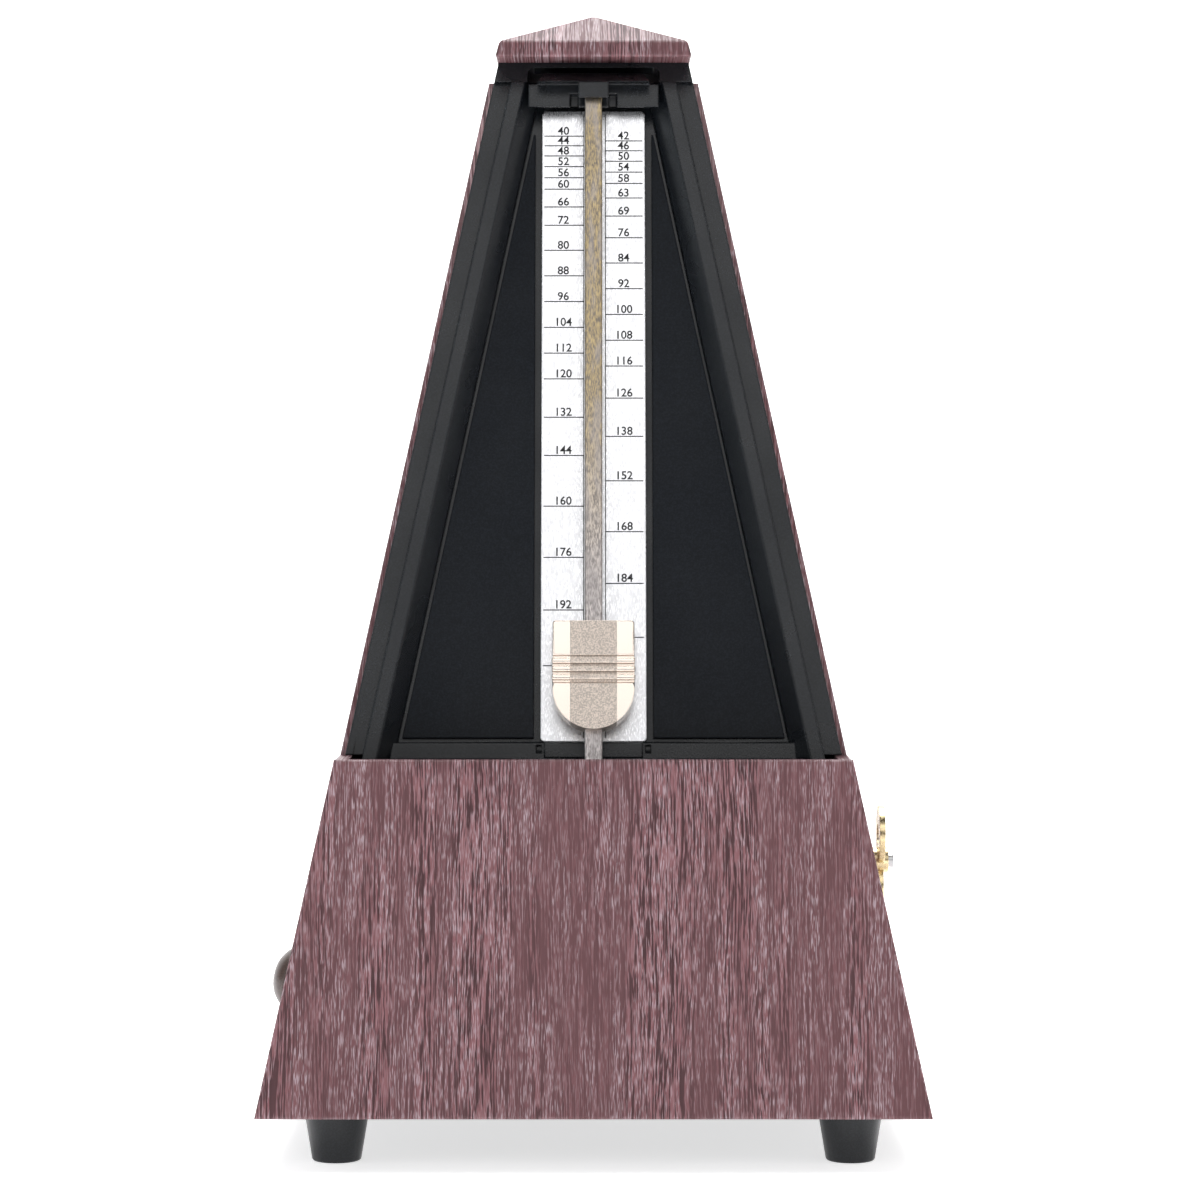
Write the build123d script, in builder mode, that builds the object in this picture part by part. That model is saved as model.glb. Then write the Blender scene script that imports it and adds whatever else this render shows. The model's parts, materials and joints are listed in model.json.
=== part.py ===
from build123d import *
import math
import os

# Clockwork pyramid metronome, millimetres.
# +Z is up, the pendulum swings in front (-Y), the winding key is on +X.
# The origin is on the floor, under the middle of the base.

# ---------------------------------------------------------------- driving sizes
base_width = 115.0          # front panel, across its bottom edge
wall_slope = 0.211          # how far each wall leans in for each mm of height
foot_height = 9.0           # floor to the bottom of the walls
panel_top = 69.0            # height of the lower front panel's top edge
casing_top = 189.8          # where the wood-grained walls end, under the black neck
cap_bottom = 193.4          # height of the cap's lower edge
cap_top = 202.6             # height of the cap's peak
cap_half_width = 17.7       # at the cap's lower edge
cap_fascia = 2.9            # height of the cap's upright band
wall = 2.2                  # casing wall
panel_thickness = 2.0
panel_overlap = 0.3         # how far the front panel stands past each side wall
pivot_height = 56.5         # pendulum pivot
seat_gap = 0.1              # between pieces that lie in one another
running_gap = 0.05          # shaft in hole, on the radius
free_gap = 0.4              # between pieces that move past one another

# depths back from the sloping front surface, measured level
casing_edge_depth = 13.2    # front edges of the upper walls
strip_depth = 12.0
rail_depth = 10.2
bevel_foot_depth = 14.0
recess_depth = 14.8
frame_back_depth = 16.6
inset_panel_depth = 13.9
scale_depth = 13.1
rod_depth = 7.5             # middle of the pendulum rod

# widths in from the casing's outer side face
wood_margin = 0.9
strip_inner = 4.1
rail_inner = 6.6
bevel_inner = 9.6
inset_margin = 10.2

# scale, rod and weight
scale_width = 18.7
scale_bottom = 71.3
scale_top = 184.6
scale_thickness = 0.8
inset_gap = 0.7             # between an inset panel and the scale plate's strip
rod_width = 3.1
rod_thickness = 1.2
rod_top = 187.3
rod_length_below = 31.0
weight_width = 14.6
weight_height = 19.3
weight_thickness = 5.6
weight_back = 2.2           # rod's middle to the weight's back, square to the rod
weight_top = 92.2           # height of the weight's top edge on the rod
weight_edge = 0.3
counterweight_width = 22.0
counterweight_height = 16.0
counterweight_thickness = 8.0
counterweight_corner = 2.0

# movement
plate_thickness = 1.5
left_plate_x = -16.0        # inner face of the left movement plate
right_plate_x = 19.0        # inner face of the right movement plate
plate_front = -26.0
plate_back = 37.0
plate_height = 66.0
key_axis_y = 14.0
key_axis_z = 46.2
gear_module = 0.8
great_teeth = 48
small_pinion_teeth = 10
middle_teeth = 40
escape_pinion_teeth = 8
cam_teeth = 20
gear_thickness = 1.6
arbor_radius = 1.0
winding_radius = 1.4
escape_distance = 21.0      # along the pendulum arbor from the rod
crown_radius = 8.5
crown_teeth = 15
spring_radius = 16.5
spring_turns = 9
bottom_plate_thickness = 2.0

# key and selector
key_reach = 6.9             # how far the key's boss stands out of the side wall
key_lobe_radius = 5.4
key_plate = 1.1
selector_y = -10.0
selector_z = 26.9
knob_radius = 5.2
knob_thickness = 3.0
selector_rod_radius = 1.3

# ---------------------------------------------------------------- derived values
half_base = base_width / 2
half_casing = half_base - panel_overlap
slope_angle = math.atan(wall_slope)
slope_cos = math.cos(slope_angle)
slope_sin = math.sin(slope_angle)
floor_top = foot_height + bottom_plate_thickness

os.makedirs("parts", exist_ok=True)


def save(piece, name):
    """Labels a finished piece and writes its file."""
    piece.label = name
    export_step(piece, f"parts/{name}.step")


def side_at(height):
    """Half the casing's outer width at a height."""
    return half_casing - wall_slope * (height - foot_height)


def front_at(height):
    """Y of the sloping front surface at a height."""
    return -half_base + wall_slope * (height - foot_height)


def up_slope(height):
    """Distance up the sloping front from the bottom of the walls."""
    return (height - foot_height) / slope_cos


def front_plane(depth):
    """A plane parallel to the sloping front, a level depth behind it.

    Its x is across, its y is up the slope from the bottom of the walls,
    and its z points out of the front.
    """
    return Plane(
        origin=(0, -half_base + depth, foot_height),
        x_dir=(1, 0, 0),
        z_dir=(0, -1, wall_slope),
    )


def level_plane(height):
    """A plane parallel to the floor."""
    return Plane.XY.offset(height)


def point_up_arbor(distance):
    """A point on the pendulum arbor, a distance in from the rod."""
    start = Vector(0, front_at(pivot_height) + rod_depth, pivot_height)
    return start + Vector(0, slope_cos, -slope_sin) * distance


def arbor_plane(distance):
    """A plane square to the pendulum arbor, facing out of the front."""
    return Plane(
        origin=point_up_arbor(distance),
        x_dir=(1, 0, 0),
        z_dir=(0, -slope_cos, slope_sin),
    )


def wheel_plane(x, centre):
    """A plane across X at an arbor's centre (y, z)."""
    return Plane(origin=(x, *centre), x_dir=(0, 1, 0), z_dir=(1, 0, 0))


def lean(low, high, outline, mode=Mode.ADD):
    """A solid between two heights whose outline, a function of the height, leans with the walls."""
    sections = []
    for height in (low, high):
        with BuildSketch(level_plane(height)) as section:
            with BuildLine():
                Polyline(*outline(height), close=True)
            make_face()
        sections.append(section.sketch)
    loft(sections, ruled=True, mode=mode)


def span_outline(inset, front_depth, back_depth):
    """A strip right across between the side walls, between two depths."""
    def outline(height):
        half = side_at(height) - inset
        front = front_at(height)
        return [
            (-half, front + front_depth),
            (half, front + front_depth),
            (half, front + back_depth),
            (-half, front + back_depth),
        ]
    return outline


def edge_outline(side, corners):
    """Corners given as (inset from the side wall, depth), on the left (-1) or the right (+1)."""
    def outline(height):
        half = side_at(height)
        front = front_at(height)
        return [(side * (half - inset), front + depth) for inset, depth in corners]
    return outline


def block_outline(half_width, front_depth, back_depth):
    """A block of constant width that leans with the front."""
    def outline(height):
        front = front_at(height)
        return [
            (-half_width, front + front_depth),
            (half_width, front + front_depth),
            (half_width, front + back_depth),
            (-half_width, front + back_depth),
        ]
    return outline


def round_along_x(x, centre, radius, length, mode):
    """A round bar or hole along +X from x, about a centre (y, z)."""
    with BuildSketch(wheel_plane(x, centre)) as ring:
        Circle(radius)
    extrude(ring.sketch, amount=length, mode=mode)


def bore(x, centre, radius, length):
    """A round hole along +X."""
    round_along_x(x, centre, radius, length, Mode.SUBTRACT)


def bar(x, centre, radius, length):
    """A round bar along +X."""
    round_along_x(x, centre, radius, length, Mode.ADD)


# ---------------------------------------------------------------- casing
foot_offset = 44.3
foot_top_radius = 5.7
foot_bottom_radius = 4.2
screw_radius = 1.5
screw_head_radius = 2.4
screw_pit = 4.0
post_size = 15.6
post_height = 14.0
key_bush_radius = 3.2
selector_wall_gap = 0.3
reach = 200.0               # longer than the object, for cuts


def casing_outline(height):
    half = side_at(height)
    depth = -front_at(height)
    return [(-half, -depth), (half, -depth), (half, depth), (-half, depth)]


def casing_inside(height):
    half = side_at(height) - wall
    back = -front_at(height) - wall
    return [(-half, -reach), (half, -reach), (half, back), (-half, back)]


def ahead_of(depth):
    """Everything in front of a depth."""
    def outline(height):
        front = front_at(height) + depth
        return [(-reach, -reach), (reach, -reach), (reach, front), (-reach, front)]
    return outline


with BuildPart() as casing:
    lean(foot_height, casing_top, casing_outline)
    lean(foot_height, casing_top, casing_inside, mode=Mode.SUBTRACT)
    with BuildSketch(level_plane(floor_top)):
        with GridLocations(2 * foot_offset, 2 * foot_offset, 2, 2):
            Rectangle(post_size, post_size)
    extrude(amount=post_height)
    lean(foot_height, panel_top, ahead_of(panel_thickness), mode=Mode.SUBTRACT)
    lean(panel_top, casing_top, ahead_of(casing_edge_depth), mode=Mode.SUBTRACT)
    with BuildSketch(level_plane(floor_top)):
        with GridLocations(2 * foot_offset, 2 * foot_offset, 2, 2):
            Circle(screw_radius)
    extrude(amount=post_height - wall, mode=Mode.SUBTRACT)
    bore(0, (key_axis_y, key_axis_z), key_bush_radius, half_base)
    bore(-half_base, (selector_y, selector_z), selector_rod_radius + selector_wall_gap, half_base / 2)
save(casing.part, "casing")

with BuildPart() as front_panel:
    lean(foot_height, panel_top, span_outline(-panel_overlap, 0, panel_thickness))
save(front_panel.part, "front_panel")


def floor_outline(height):
    half = side_at(height) - wall - seat_gap
    front = front_at(height) + panel_thickness + seat_gap
    back = -front_at(height) - wall - seat_gap
    return [(-half, front), (half, front), (half, back), (-half, back)]


with BuildPart() as bottom_plate:
    lean(foot_height, floor_top, floor_outline)
    with BuildSketch(level_plane(foot_height)):
        with GridLocations(2 * foot_offset, 2 * foot_offset, 2, 2):
            Circle(screw_radius)
    extrude(amount=bottom_plate_thickness, mode=Mode.SUBTRACT)
save(bottom_plate.part, "bottom_plate")

with BuildPart() as feet:
    with GridLocations(2 * foot_offset, 2 * foot_offset, 2, 2):
        Cone(
            foot_bottom_radius,
            foot_top_radius,
            foot_height,
            align=(Align.CENTER, Align.CENTER, Align.MIN),
        )
    with BuildSketch(level_plane(0)):
        with GridLocations(2 * foot_offset, 2 * foot_offset, 2, 2):
            Circle(screw_head_radius)
    extrude(amount=screw_pit, mode=Mode.SUBTRACT)
    with BuildSketch(level_plane(screw_pit)):
        with GridLocations(2 * foot_offset, 2 * foot_offset, 2, 2):
            Circle(screw_radius)
    extrude(amount=foot_height - screw_pit, mode=Mode.SUBTRACT)
save(feet.part, "feet")

foot_head_height = 1.6
foot_screw_bite = 6.0
drive_length = 2.8          # cross slot in a screw's head
drive_width = 0.6
drive_depth = 0.9
with BuildPart() as foot_screws:
    with BuildSketch(level_plane(screw_pit - foot_head_height)):
        with GridLocations(2 * foot_offset, 2 * foot_offset, 2, 2):
            Circle(screw_head_radius - seat_gap)
    extrude(amount=foot_head_height)
    with BuildSketch(level_plane(screw_pit)):
        with GridLocations(2 * foot_offset, 2 * foot_offset, 2, 2):
            Circle(screw_radius - seat_gap / 2)
    extrude(amount=floor_top - screw_pit + foot_screw_bite)
    with BuildSketch(level_plane(screw_pit - foot_head_height)):
        with GridLocations(2 * foot_offset, 2 * foot_offset, 2, 2):
            Rectangle(drive_length, drive_width)
            Rectangle(drive_width, drive_length)
    extrude(amount=drive_depth, mode=Mode.SUBTRACT)
save(foot_screws.part, "foot_screws")

# ---------------------------------------------------------------- neck and cap
neck_margin = 1.0
neck_front_depth = 10.8
pocket_half_width = 12.0
pocket_top = 192.6
pocket_start = 0.5          # how far ahead of the neck the pocket's cut starts
pocket_depth = 3.8
pocket_corner = 1.2
spigot_height = 3.0
fascia_lean = 0.26
peak_half_width = 0.4


def neck_outline(height):
    half = side_at(height) - neck_margin
    front = front_at(height) + neck_front_depth
    back = -front_at(height) - neck_margin
    return [(-half, front), (half, front), (half, back), (-half, back)]


def spigot_outline(height):
    half = side_at(height) - wall - seat_gap
    front = front_at(height) + frame_back_depth + seat_gap
    back = -front_at(height) - wall - seat_gap
    return [(-half, front), (half, front), (half, back), (-half, back)]


with BuildPart() as neck:
    lean(casing_top, cap_bottom, neck_outline)
    lean(casing_top - spigot_height, casing_top, spigot_outline)
    with BuildSketch(front_plane(neck_front_depth - pocket_start)):
        with Locations((0, up_slope(casing_top))):
            RectangleRounded(
                2 * pocket_half_width,
                2 * (up_slope(pocket_top) - up_slope(casing_top)),
                pocket_corner,
            )
    extrude(amount=-(pocket_depth + pocket_start) * slope_cos, mode=Mode.SUBTRACT)
save(neck.part, "neck")

eaves = cap_bottom + cap_fascia
eaves_half_width = cap_half_width - fascia_lean * cap_fascia


def square_loft(low, low_half, high, high_half):
    """A solid between two level squares."""
    sections = []
    for height, half in ((low, low_half), (high, high_half)):
        with BuildSketch(level_plane(height)) as section:
            Rectangle(2 * half, 2 * half)
        sections.append(section.sketch)
    loft(sections, ruled=True)


with BuildPart() as cap:
    square_loft(cap_bottom, cap_half_width, eaves, eaves_half_width)
    square_loft(eaves, eaves_half_width, cap_top, peak_half_width)
save(cap.part, "cap")

# ---------------------------------------------------------------- black front frame
frame_bottom = 66.0
bar_depth = 13.2
sheet_inset = wall + 2 * seat_gap
strip_start = panel_top + seat_gap
bar_top = scale_bottom - 3 * seat_gap
inset_bottom = 71.9
scale_pad_half = 9.0
strip_width = 0.5           # the frame's upright strip beside the scale plate
inset_inner = scale_width / 2 + inset_gap + strip_width
peak_gap = 0.3              # half the width left at an inset panel's peak
slot_depth = 2.0
slot_half_height = 0.75
slot_middle = 70.2
slot_width = 1.0
slot_offset = 9.6
frame_top = casing_top
scale_back_depth = scale_depth + scale_thickness / slope_cos

with BuildPart() as front_frame:
    lean(frame_bottom, frame_top, span_outline(sheet_inset, recess_depth, frame_back_depth))
    lean(frame_bottom, bar_top, span_outline(sheet_inset, bar_depth, recess_depth))
    for side in (-1, 1):
        lean(
            strip_start,
            frame_top,
            edge_outline(
                side,
                [
                    (wood_margin, strip_depth),
                    (strip_inner, strip_depth),
                    (strip_inner, casing_edge_depth),
                    (wood_margin, casing_edge_depth),
                ],
            ),
        )
        lean(
            frame_bottom,
            frame_top,
            edge_outline(
                side,
                [
                    (sheet_inset, casing_edge_depth),
                    (strip_inner, casing_edge_depth),
                    (strip_inner, rail_depth),
                    (rail_inner, rail_depth),
                    (bevel_inner, bevel_foot_depth),
                    (bevel_inner, recess_depth),
                    (sheet_inset, recess_depth),
                ],
            ),
        )
    lean(bar_top, scale_top, block_outline(scale_pad_half, scale_back_depth, recess_depth))
    with BuildSketch(front_plane(strip_depth)):
        with Locations(
            (-slot_offset, up_slope(slot_middle)),
            (slot_offset, up_slope(slot_middle)),
        ):
            Rectangle(slot_width, 2 * slot_half_height)
    extrude(amount=-slot_depth * slope_cos, mode=Mode.SUBTRACT)
save(front_frame.part, "front_frame")


def inset_panel(side, name):
    """A thin triangular panel beside the scale, in the frame's recess."""
    low = up_slope(inset_bottom)
    peak = foot_height + (half_casing - inset_margin - inset_inner - peak_gap) / wall_slope
    outer = side_at(inset_bottom) - inset_margin
    inner = side_at(peak) - inset_margin
    with BuildPart() as panel:
        with BuildSketch(front_plane(inset_panel_depth)):
            with BuildLine():
                Polyline(
                    (side * inset_inner, low),
                    (side * outer, low),
                    (side * inner, up_slope(peak)),
                    (side * inset_inner, up_slope(peak)),
                    close=True,
                )
            make_face()
        extrude(amount=-(recess_depth - inset_panel_depth) * slope_cos)
    save(panel.part, name)


inset_panel(-1, "left_inset_panel")
inset_panel(1, "right_inset_panel")

with BuildPart() as scale_plate:
    with BuildSketch(front_plane(scale_depth)):
        with Locations((0, (up_slope(scale_bottom) + up_slope(scale_top)) / 2)):
            Rectangle(scale_width, up_slope(scale_top) - up_slope(scale_bottom))
    extrude(amount=-scale_thickness)
save(scale_plate.part, "scale_plate")

scale_foot_half = 8.7
scale_foot_depth = 12.2
ledge_top = 68.5
ledge_bottom = 66.9
ledge_opening_half = 14.2    # the weight swings through it at its lowest place
ledge_opening_front = 3.2
ledge_opening_back = 11.4
with BuildPart() as scale_foot:
    lean(
        ledge_top,
        scale_bottom - seat_gap,
        block_outline(scale_foot_half, scale_foot_depth, bar_depth),
    )
save(scale_foot.part, "scale_foot")

with BuildPart() as ledge:
    lean(ledge_bottom, ledge_top, span_outline(sheet_inset, panel_thickness, bar_depth))
    for side in (-1, 1):
        lean(
            ledge_bottom,
            ledge_top,
            edge_outline(
                side,
                [
                    (0, rail_depth - seat_gap),
                    (bevel_inner + seat_gap, rail_depth - seat_gap),
                    (bevel_inner + seat_gap, recess_depth),
                    (0, recess_depth),
                ],
            ),
            mode=Mode.SUBTRACT,
        )
    lean(
        ledge_bottom,
        ledge_top,
        block_outline(ledge_opening_half, ledge_opening_front, ledge_opening_back),
        mode=Mode.SUBTRACT,
    )
save(ledge.part, "ledge")

# ---------------------------------------------------------------- rod catch
wing_half = 11.8
wing_bottom = 185.0
wing_top = 189.3
wing_front_depth = 9.2
wing_back_depth = 11.0
seat_half = 9.0
seat_bottom = 185.2
visor_front_depth = 4.9
visor_back_depth = 12.3
visor_half = 10.2
visor_top_half = 9.0
visor_top = 191.3
visor_lean = 4.0
nub_half = 2.73
nub_bottom = 186.4
nub_back_depth = rod_depth - rod_thickness / 2 - free_gap
notch_width = 1.5
notch_height = 2.5
notch_depth = 1.6


def visor_outline(height):
    """The sloping hood over the rod's tip."""
    share = (height - wing_top) / (visor_top - wing_top)
    half = visor_half - (visor_half - visor_top_half) * share
    front = front_at(height)
    nose = visor_front_depth + visor_lean * share
    return [
        (-half, front + nose),
        (half, front + nose),
        (half, front + visor_back_depth),
        (-half, front + visor_back_depth),
    ]


with BuildPart() as rod_catch:
    lean(wing_bottom, wing_top, block_outline(wing_half, wing_front_depth, wing_back_depth))
    lean(seat_bottom, wing_top, block_outline(seat_half, wing_back_depth, recess_depth))
    lean(wing_top, visor_top, visor_outline)
    lean(nub_bottom, wing_top, block_outline(nub_half, visor_front_depth, nub_back_depth))
    for side in (-1, 1):
        with BuildSketch(front_plane(wing_front_depth - seat_gap)):
            with Locations((side * (nub_half + notch_width / 2), up_slope(wing_bottom))):
                Rectangle(notch_width, 2 * notch_height)
        extrude(amount=-notch_depth, mode=Mode.SUBTRACT)
save(rod_catch.part, "rod_catch")

# ---------------------------------------------------------------- pendulum
hub_radius = 3.2
hub_length = 3.4
arbor_end = 35.0
arbor_front = 1.6
front_cock_at = 5.0
rear_cock_at = 32.0
cock_thickness = 2.0
cock_height = 8.0
rear_cock_end = 3.0
pallet_reach = 3.5
pallet_width = 0.8
pallet_length = 1.6
counterweight_drop = 35.5
rib_height = 0.35
rib_width = 0.9
rib_pitch = 1.45
rib_count = 3
rib_drop = 8.6              # weight's top edge to the middle rib
slot_clearance = 0.1
leaf_thickness = 0.25
leaf_room = 0.9
leaf_length = 9.0

pivot_up = up_slope(pivot_height)
rod_low = pivot_up - rod_length_below
rod_high = up_slope(rod_top)
weight_high = up_slope(weight_top)
weight_radius = weight_width / 2
weight_low = weight_high - weight_height

with BuildPart() as pendulum_rod:
    with BuildSketch(front_plane(rod_depth)):
        with Locations((0, (rod_low + rod_high) / 2)):
            Rectangle(rod_width, rod_high - rod_low)
    extrude(amount=rod_thickness / 2, both=True)
    with BuildSketch(arbor_plane(-rod_thickness)):
        Circle(arbor_radius)
    extrude(amount=-2 * rod_thickness, mode=Mode.SUBTRACT)
save(pendulum_rod.part, "pendulum_rod")

with BuildPart() as pendulum_hub:
    with BuildSketch(arbor_plane(rod_thickness / 2)):
        Circle(hub_radius)
        Circle(arbor_radius, mode=Mode.SUBTRACT)
    extrude(amount=-hub_length)
save(pendulum_hub.part, "pendulum_hub")

with BuildPart() as pendulum_arbor:
    with BuildSketch(arbor_plane(-arbor_front)):
        Circle(arbor_radius)
    extrude(amount=-(arbor_end + arbor_front))
save(pendulum_arbor.part, "pendulum_arbor")

with BuildPart() as pallets:
    for place, side in ((-crown_radius, 1), (crown_radius, -1)):
        with BuildSketch(arbor_plane(escape_distance + place - pallet_length / 2)):
            Circle(arbor_radius + pallet_width)
            with Locations((0, side * (arbor_radius + pallet_reach) / 2)):
                Rectangle(pallet_width, pallet_reach - arbor_radius)
            Circle(arbor_radius, mode=Mode.SUBTRACT)
        extrude(amount=-pallet_length)
save(pallets.part, "pallets")

with BuildPart() as counterweight:
    with BuildSketch(front_plane(rod_depth)):
        with Locations((0, pivot_up - counterweight_drop)):
            RectangleRounded(counterweight_width, counterweight_height, counterweight_corner)
    extrude(amount=counterweight_thickness / 2, both=True)
    with BuildSketch(front_plane(rod_depth)):
        with Locations((0, (rod_low + rod_high) / 2)):
            Rectangle(rod_width, rod_high - rod_low)
    extrude(amount=rod_thickness / 2, both=True, mode=Mode.SUBTRACT)
save(counterweight.part, "counterweight")

with BuildPart() as sliding_weight:
    with BuildSketch(front_plane(rod_depth).offset(-weight_back)):
        with BuildLine():
            Polyline(
                (-weight_radius, weight_low + weight_radius),
                (-weight_radius, weight_high),
                (weight_radius, weight_high),
                (weight_radius, weight_low + weight_radius),
            )
            ThreePointArc(
                (weight_radius, weight_low + weight_radius),
                (0, weight_low),
                (-weight_radius, weight_low + weight_radius),
            )
        make_face()
    extrude(amount=weight_thickness - rib_height)
    fillet(sliding_weight.edges().filter_by(GeomType.LINE).group_by(Axis.Z)[-1], weight_edge)
    with BuildSketch(front_plane(rod_depth)):
        with Locations(
            *[
                (0, weight_high - rib_drop + (n - (rib_count - 1) / 2) * rib_pitch)
                for n in range(rib_count)
            ]
        ):
            Rectangle(weight_width, rib_width)
    extrude(amount=weight_thickness - weight_back)
    with BuildSketch(front_plane(rod_depth)):
        with Locations((0, (weight_low + weight_high) / 2)):
            Rectangle(rod_width + 2 * slot_clearance, 2 * weight_height)
    extrude(amount=rod_thickness / 2 + slot_clearance, both=True, mode=Mode.SUBTRACT)
    with BuildSketch(front_plane(rod_depth)):
        with Locations((0, (weight_low + weight_high) / 2)):
            Rectangle(rod_width + 2 * slot_clearance, leaf_length + 2 * slot_clearance)
    extrude(amount=rod_thickness / 2 + leaf_room, mode=Mode.SUBTRACT)
save(sliding_weight.part, "sliding_weight")

leaf_seat = rod_thickness / 2 + leaf_room - leaf_thickness
with BuildPart() as weight_spring:
    with BuildSketch(front_plane(rod_depth).offset(leaf_seat)):
        with Locations((0, (weight_low + weight_high) / 2)):
            Rectangle(rod_width, leaf_length)
    extrude(amount=leaf_thickness)
save(weight_spring.part, "weight_spring")

# ---------------------------------------------------------------- wheel train
tooth_root_width = 0.54     # shares of the pitch
tooth_tip_width = 0.26
addendum = 0.85             # in modules
dedendum = 1.2
great_x = 6.2
pinion_x = 5.2
pinion_length = 4.0
middle_x = 11.0
escape_pinion_x = 9.8
escape_pinion_length = 3.8
crown_tip_x = 2.4
crown_root_x = 3.8
crown_web_x = 5.0
crown_web = 1.0
crown_rim = 1.3
crown_gap_share = 0.55
collet_radius = 2.6
ratchet_x = 4.2
ratchet_thickness = 1.6
ratchet_radius = 6.2
ratchet_step = 1.1
ratchet_teeth = 20
spoke_count = 4
hub_share = 0.28
rim_width = 2.6
spoke_width = 2.4
tooth_sink = 0.4            # how far a tooth's foot reaches into its blank
sleeve_radius = 1.6         # the middle wheel's seat on its arbor

great_pitch = gear_module * great_teeth / 2
small_pitch = gear_module * small_pinion_teeth / 2
middle_pitch = gear_module * middle_teeth / 2
escape_pitch = gear_module * escape_pinion_teeth / 2
cam_pitch = gear_module * cam_teeth / 2

great_centre = (key_axis_y, key_axis_z)
escape_point = point_up_arbor(escape_distance)
escape_centre = (escape_point.Y, escape_point.Z)


def third_corner(first, second, from_first, from_second):
    """The lower corner of a triangle given two corners and two sides."""
    across = second[0] - first[0]
    rise = second[1] - first[1]
    base = math.hypot(across, rise)
    along = (from_first**2 - from_second**2 + base**2) / (2 * base)
    drop = math.sqrt(from_first**2 - along**2)
    return (
        first[0] + along * across / base + drop * rise / base,
        first[1] + along * rise / base - drop * across / base,
    )


def direction(first, second):
    """Angle in degrees from one arbor to another, from +Y towards +Z."""
    return math.degrees(math.atan2(second[1] - first[1], second[0] - first[0]))


middle_centre = third_corner(
    escape_centre,
    great_centre,
    middle_pitch + escape_pitch,
    great_pitch + small_pitch,
)
cam_direction = -35.0
cam_distance = middle_pitch + cam_pitch
cam_centre = (
    middle_centre[0] + cam_distance * math.cos(math.radians(cam_direction)),
    middle_centre[1] + cam_distance * math.sin(math.radians(cam_direction)),
)


def toothed_disc(x, centre, teeth, length, first_tooth):
    """A gear blank with its teeth, the first at an angle from +Y towards +Z."""
    pitch = math.pi * gear_module
    root = gear_module * teeth / 2 - dedendum * gear_module
    depth = (addendum + dedendum) * gear_module
    base = tooth_root_width * pitch / 2
    tip = tooth_tip_width * pitch / 2
    with BuildSketch(wheel_plane(x, centre)) as profile:
        Circle(root)
        with PolarLocations(root, teeth, start_angle=first_tooth):
            Polygon(
                (-tooth_sink, -base),
                (depth, -tip),
                (depth, tip),
                (-tooth_sink, base),
                align=None,
            )
    extrude(profile.sketch, amount=length)


def windows(x, centre, teeth, length):
    """Cuts the openings between a wheel's spokes."""
    root = gear_module * teeth / 2 - dedendum * gear_module
    with BuildSketch(wheel_plane(x, centre)) as openings:
        Circle(root - rim_width)
        Circle(root * hub_share, mode=Mode.SUBTRACT)
        with PolarLocations(0, spoke_count):
            Rectangle(2 * root, spoke_width, mode=Mode.SUBTRACT)
    extrude(openings.sketch, amount=length, mode=Mode.SUBTRACT)


to_small = direction(great_centre, middle_centre)
to_escape = direction(middle_centre, escape_centre)

with BuildPart() as great_wheel:
    toothed_disc(great_x, great_centre, great_teeth, gear_thickness, to_small)
    bore(great_x, great_centre, winding_radius + running_gap, gear_thickness)
save(great_wheel.part, "great_wheel")

with BuildPart() as middle_arbor:
    toothed_disc(
        pinion_x,
        middle_centre,
        small_pinion_teeth,
        pinion_length,
        to_small + 180 + 180 / small_pinion_teeth,
    )
    bar(
        left_plate_x - plate_thickness,
        middle_centre,
        arbor_radius,
        right_plate_x - left_plate_x + 2 * plate_thickness,
    )
    bar(pinion_x, middle_centre, sleeve_radius, middle_x + 2 * gear_thickness - pinion_x)
save(middle_arbor.part, "middle_arbor")

with BuildPart() as middle_wheel:
    toothed_disc(middle_x, middle_centre, middle_teeth, gear_thickness, to_escape)
    windows(middle_x, middle_centre, middle_teeth, gear_thickness)
    bore(middle_x, middle_centre, sleeve_radius, gear_thickness)
save(middle_wheel.part, "middle_wheel")

with BuildPart() as escape_arbor:
    toothed_disc(
        escape_pinion_x,
        escape_centre,
        escape_pinion_teeth,
        escape_pinion_length,
        to_escape + 180 + 180 / escape_pinion_teeth,
    )
    bar(crown_root_x, escape_centre, arbor_radius, right_plate_x + plate_thickness - crown_root_x)
save(escape_arbor.part, "escape_arbor")

with BuildPart() as crown_wheel:
    with BuildSketch(wheel_plane(crown_web_x, escape_centre)):
        Circle(crown_radius)
        Circle(arbor_radius, mode=Mode.SUBTRACT)
    extrude(amount=crown_web)
    with BuildSketch(wheel_plane(crown_tip_x, escape_centre)):
        Circle(crown_radius)
        Circle(crown_radius - crown_rim, mode=Mode.SUBTRACT)
    extrude(amount=crown_web_x - crown_tip_x)
    with BuildSketch(wheel_plane(crown_tip_x, escape_centre)):
        with PolarLocations(crown_radius, crown_teeth):
            Rectangle(3 * crown_rim, crown_gap_share * 2 * math.pi * crown_radius / crown_teeth)
    extrude(amount=crown_root_x - crown_tip_x, mode=Mode.SUBTRACT)
save(crown_wheel.part, "crown_wheel")

# ---------------------------------------------------------------- bell work
cam_left = -14.0
cam_width = 2.0
cam_gap = 0.5
cam_beats = (2, 3, 4, 6)
cam_radius = 4.6
lobe_height = 1.0
lobe_width = 1.4
hammer_y = 30.0
hammer_z = 26.0
hammer_arm_x = -37.0
hammer_arm_width = 2.0
hammer_arm_thickness = 1.4
hammer_head_radius = 2.2
hammer_head_drop = 9.0
hammer_head_back = 2.5
follower_x = -9.0
follower_reach = 0.6        # from the follower's tip to the cams' lobes
follower_thickness = 1.2
bell_x = -37.0
bell_y = 11.5
bell_radius = 13.0
bell_height = 8.0
bell_wall = 1.0
bell_rim = 14.0
bell_bore = 1.5
bell_post_foot = 3.5
bell_crown = 0.4            # how far the dome rises past its hole
bell_shoulder_out = 0.80    # the dome's shoulder, as shares of its radius and height
bell_shoulder_up = 0.72
bell_post_foot_height = 1.5
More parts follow.
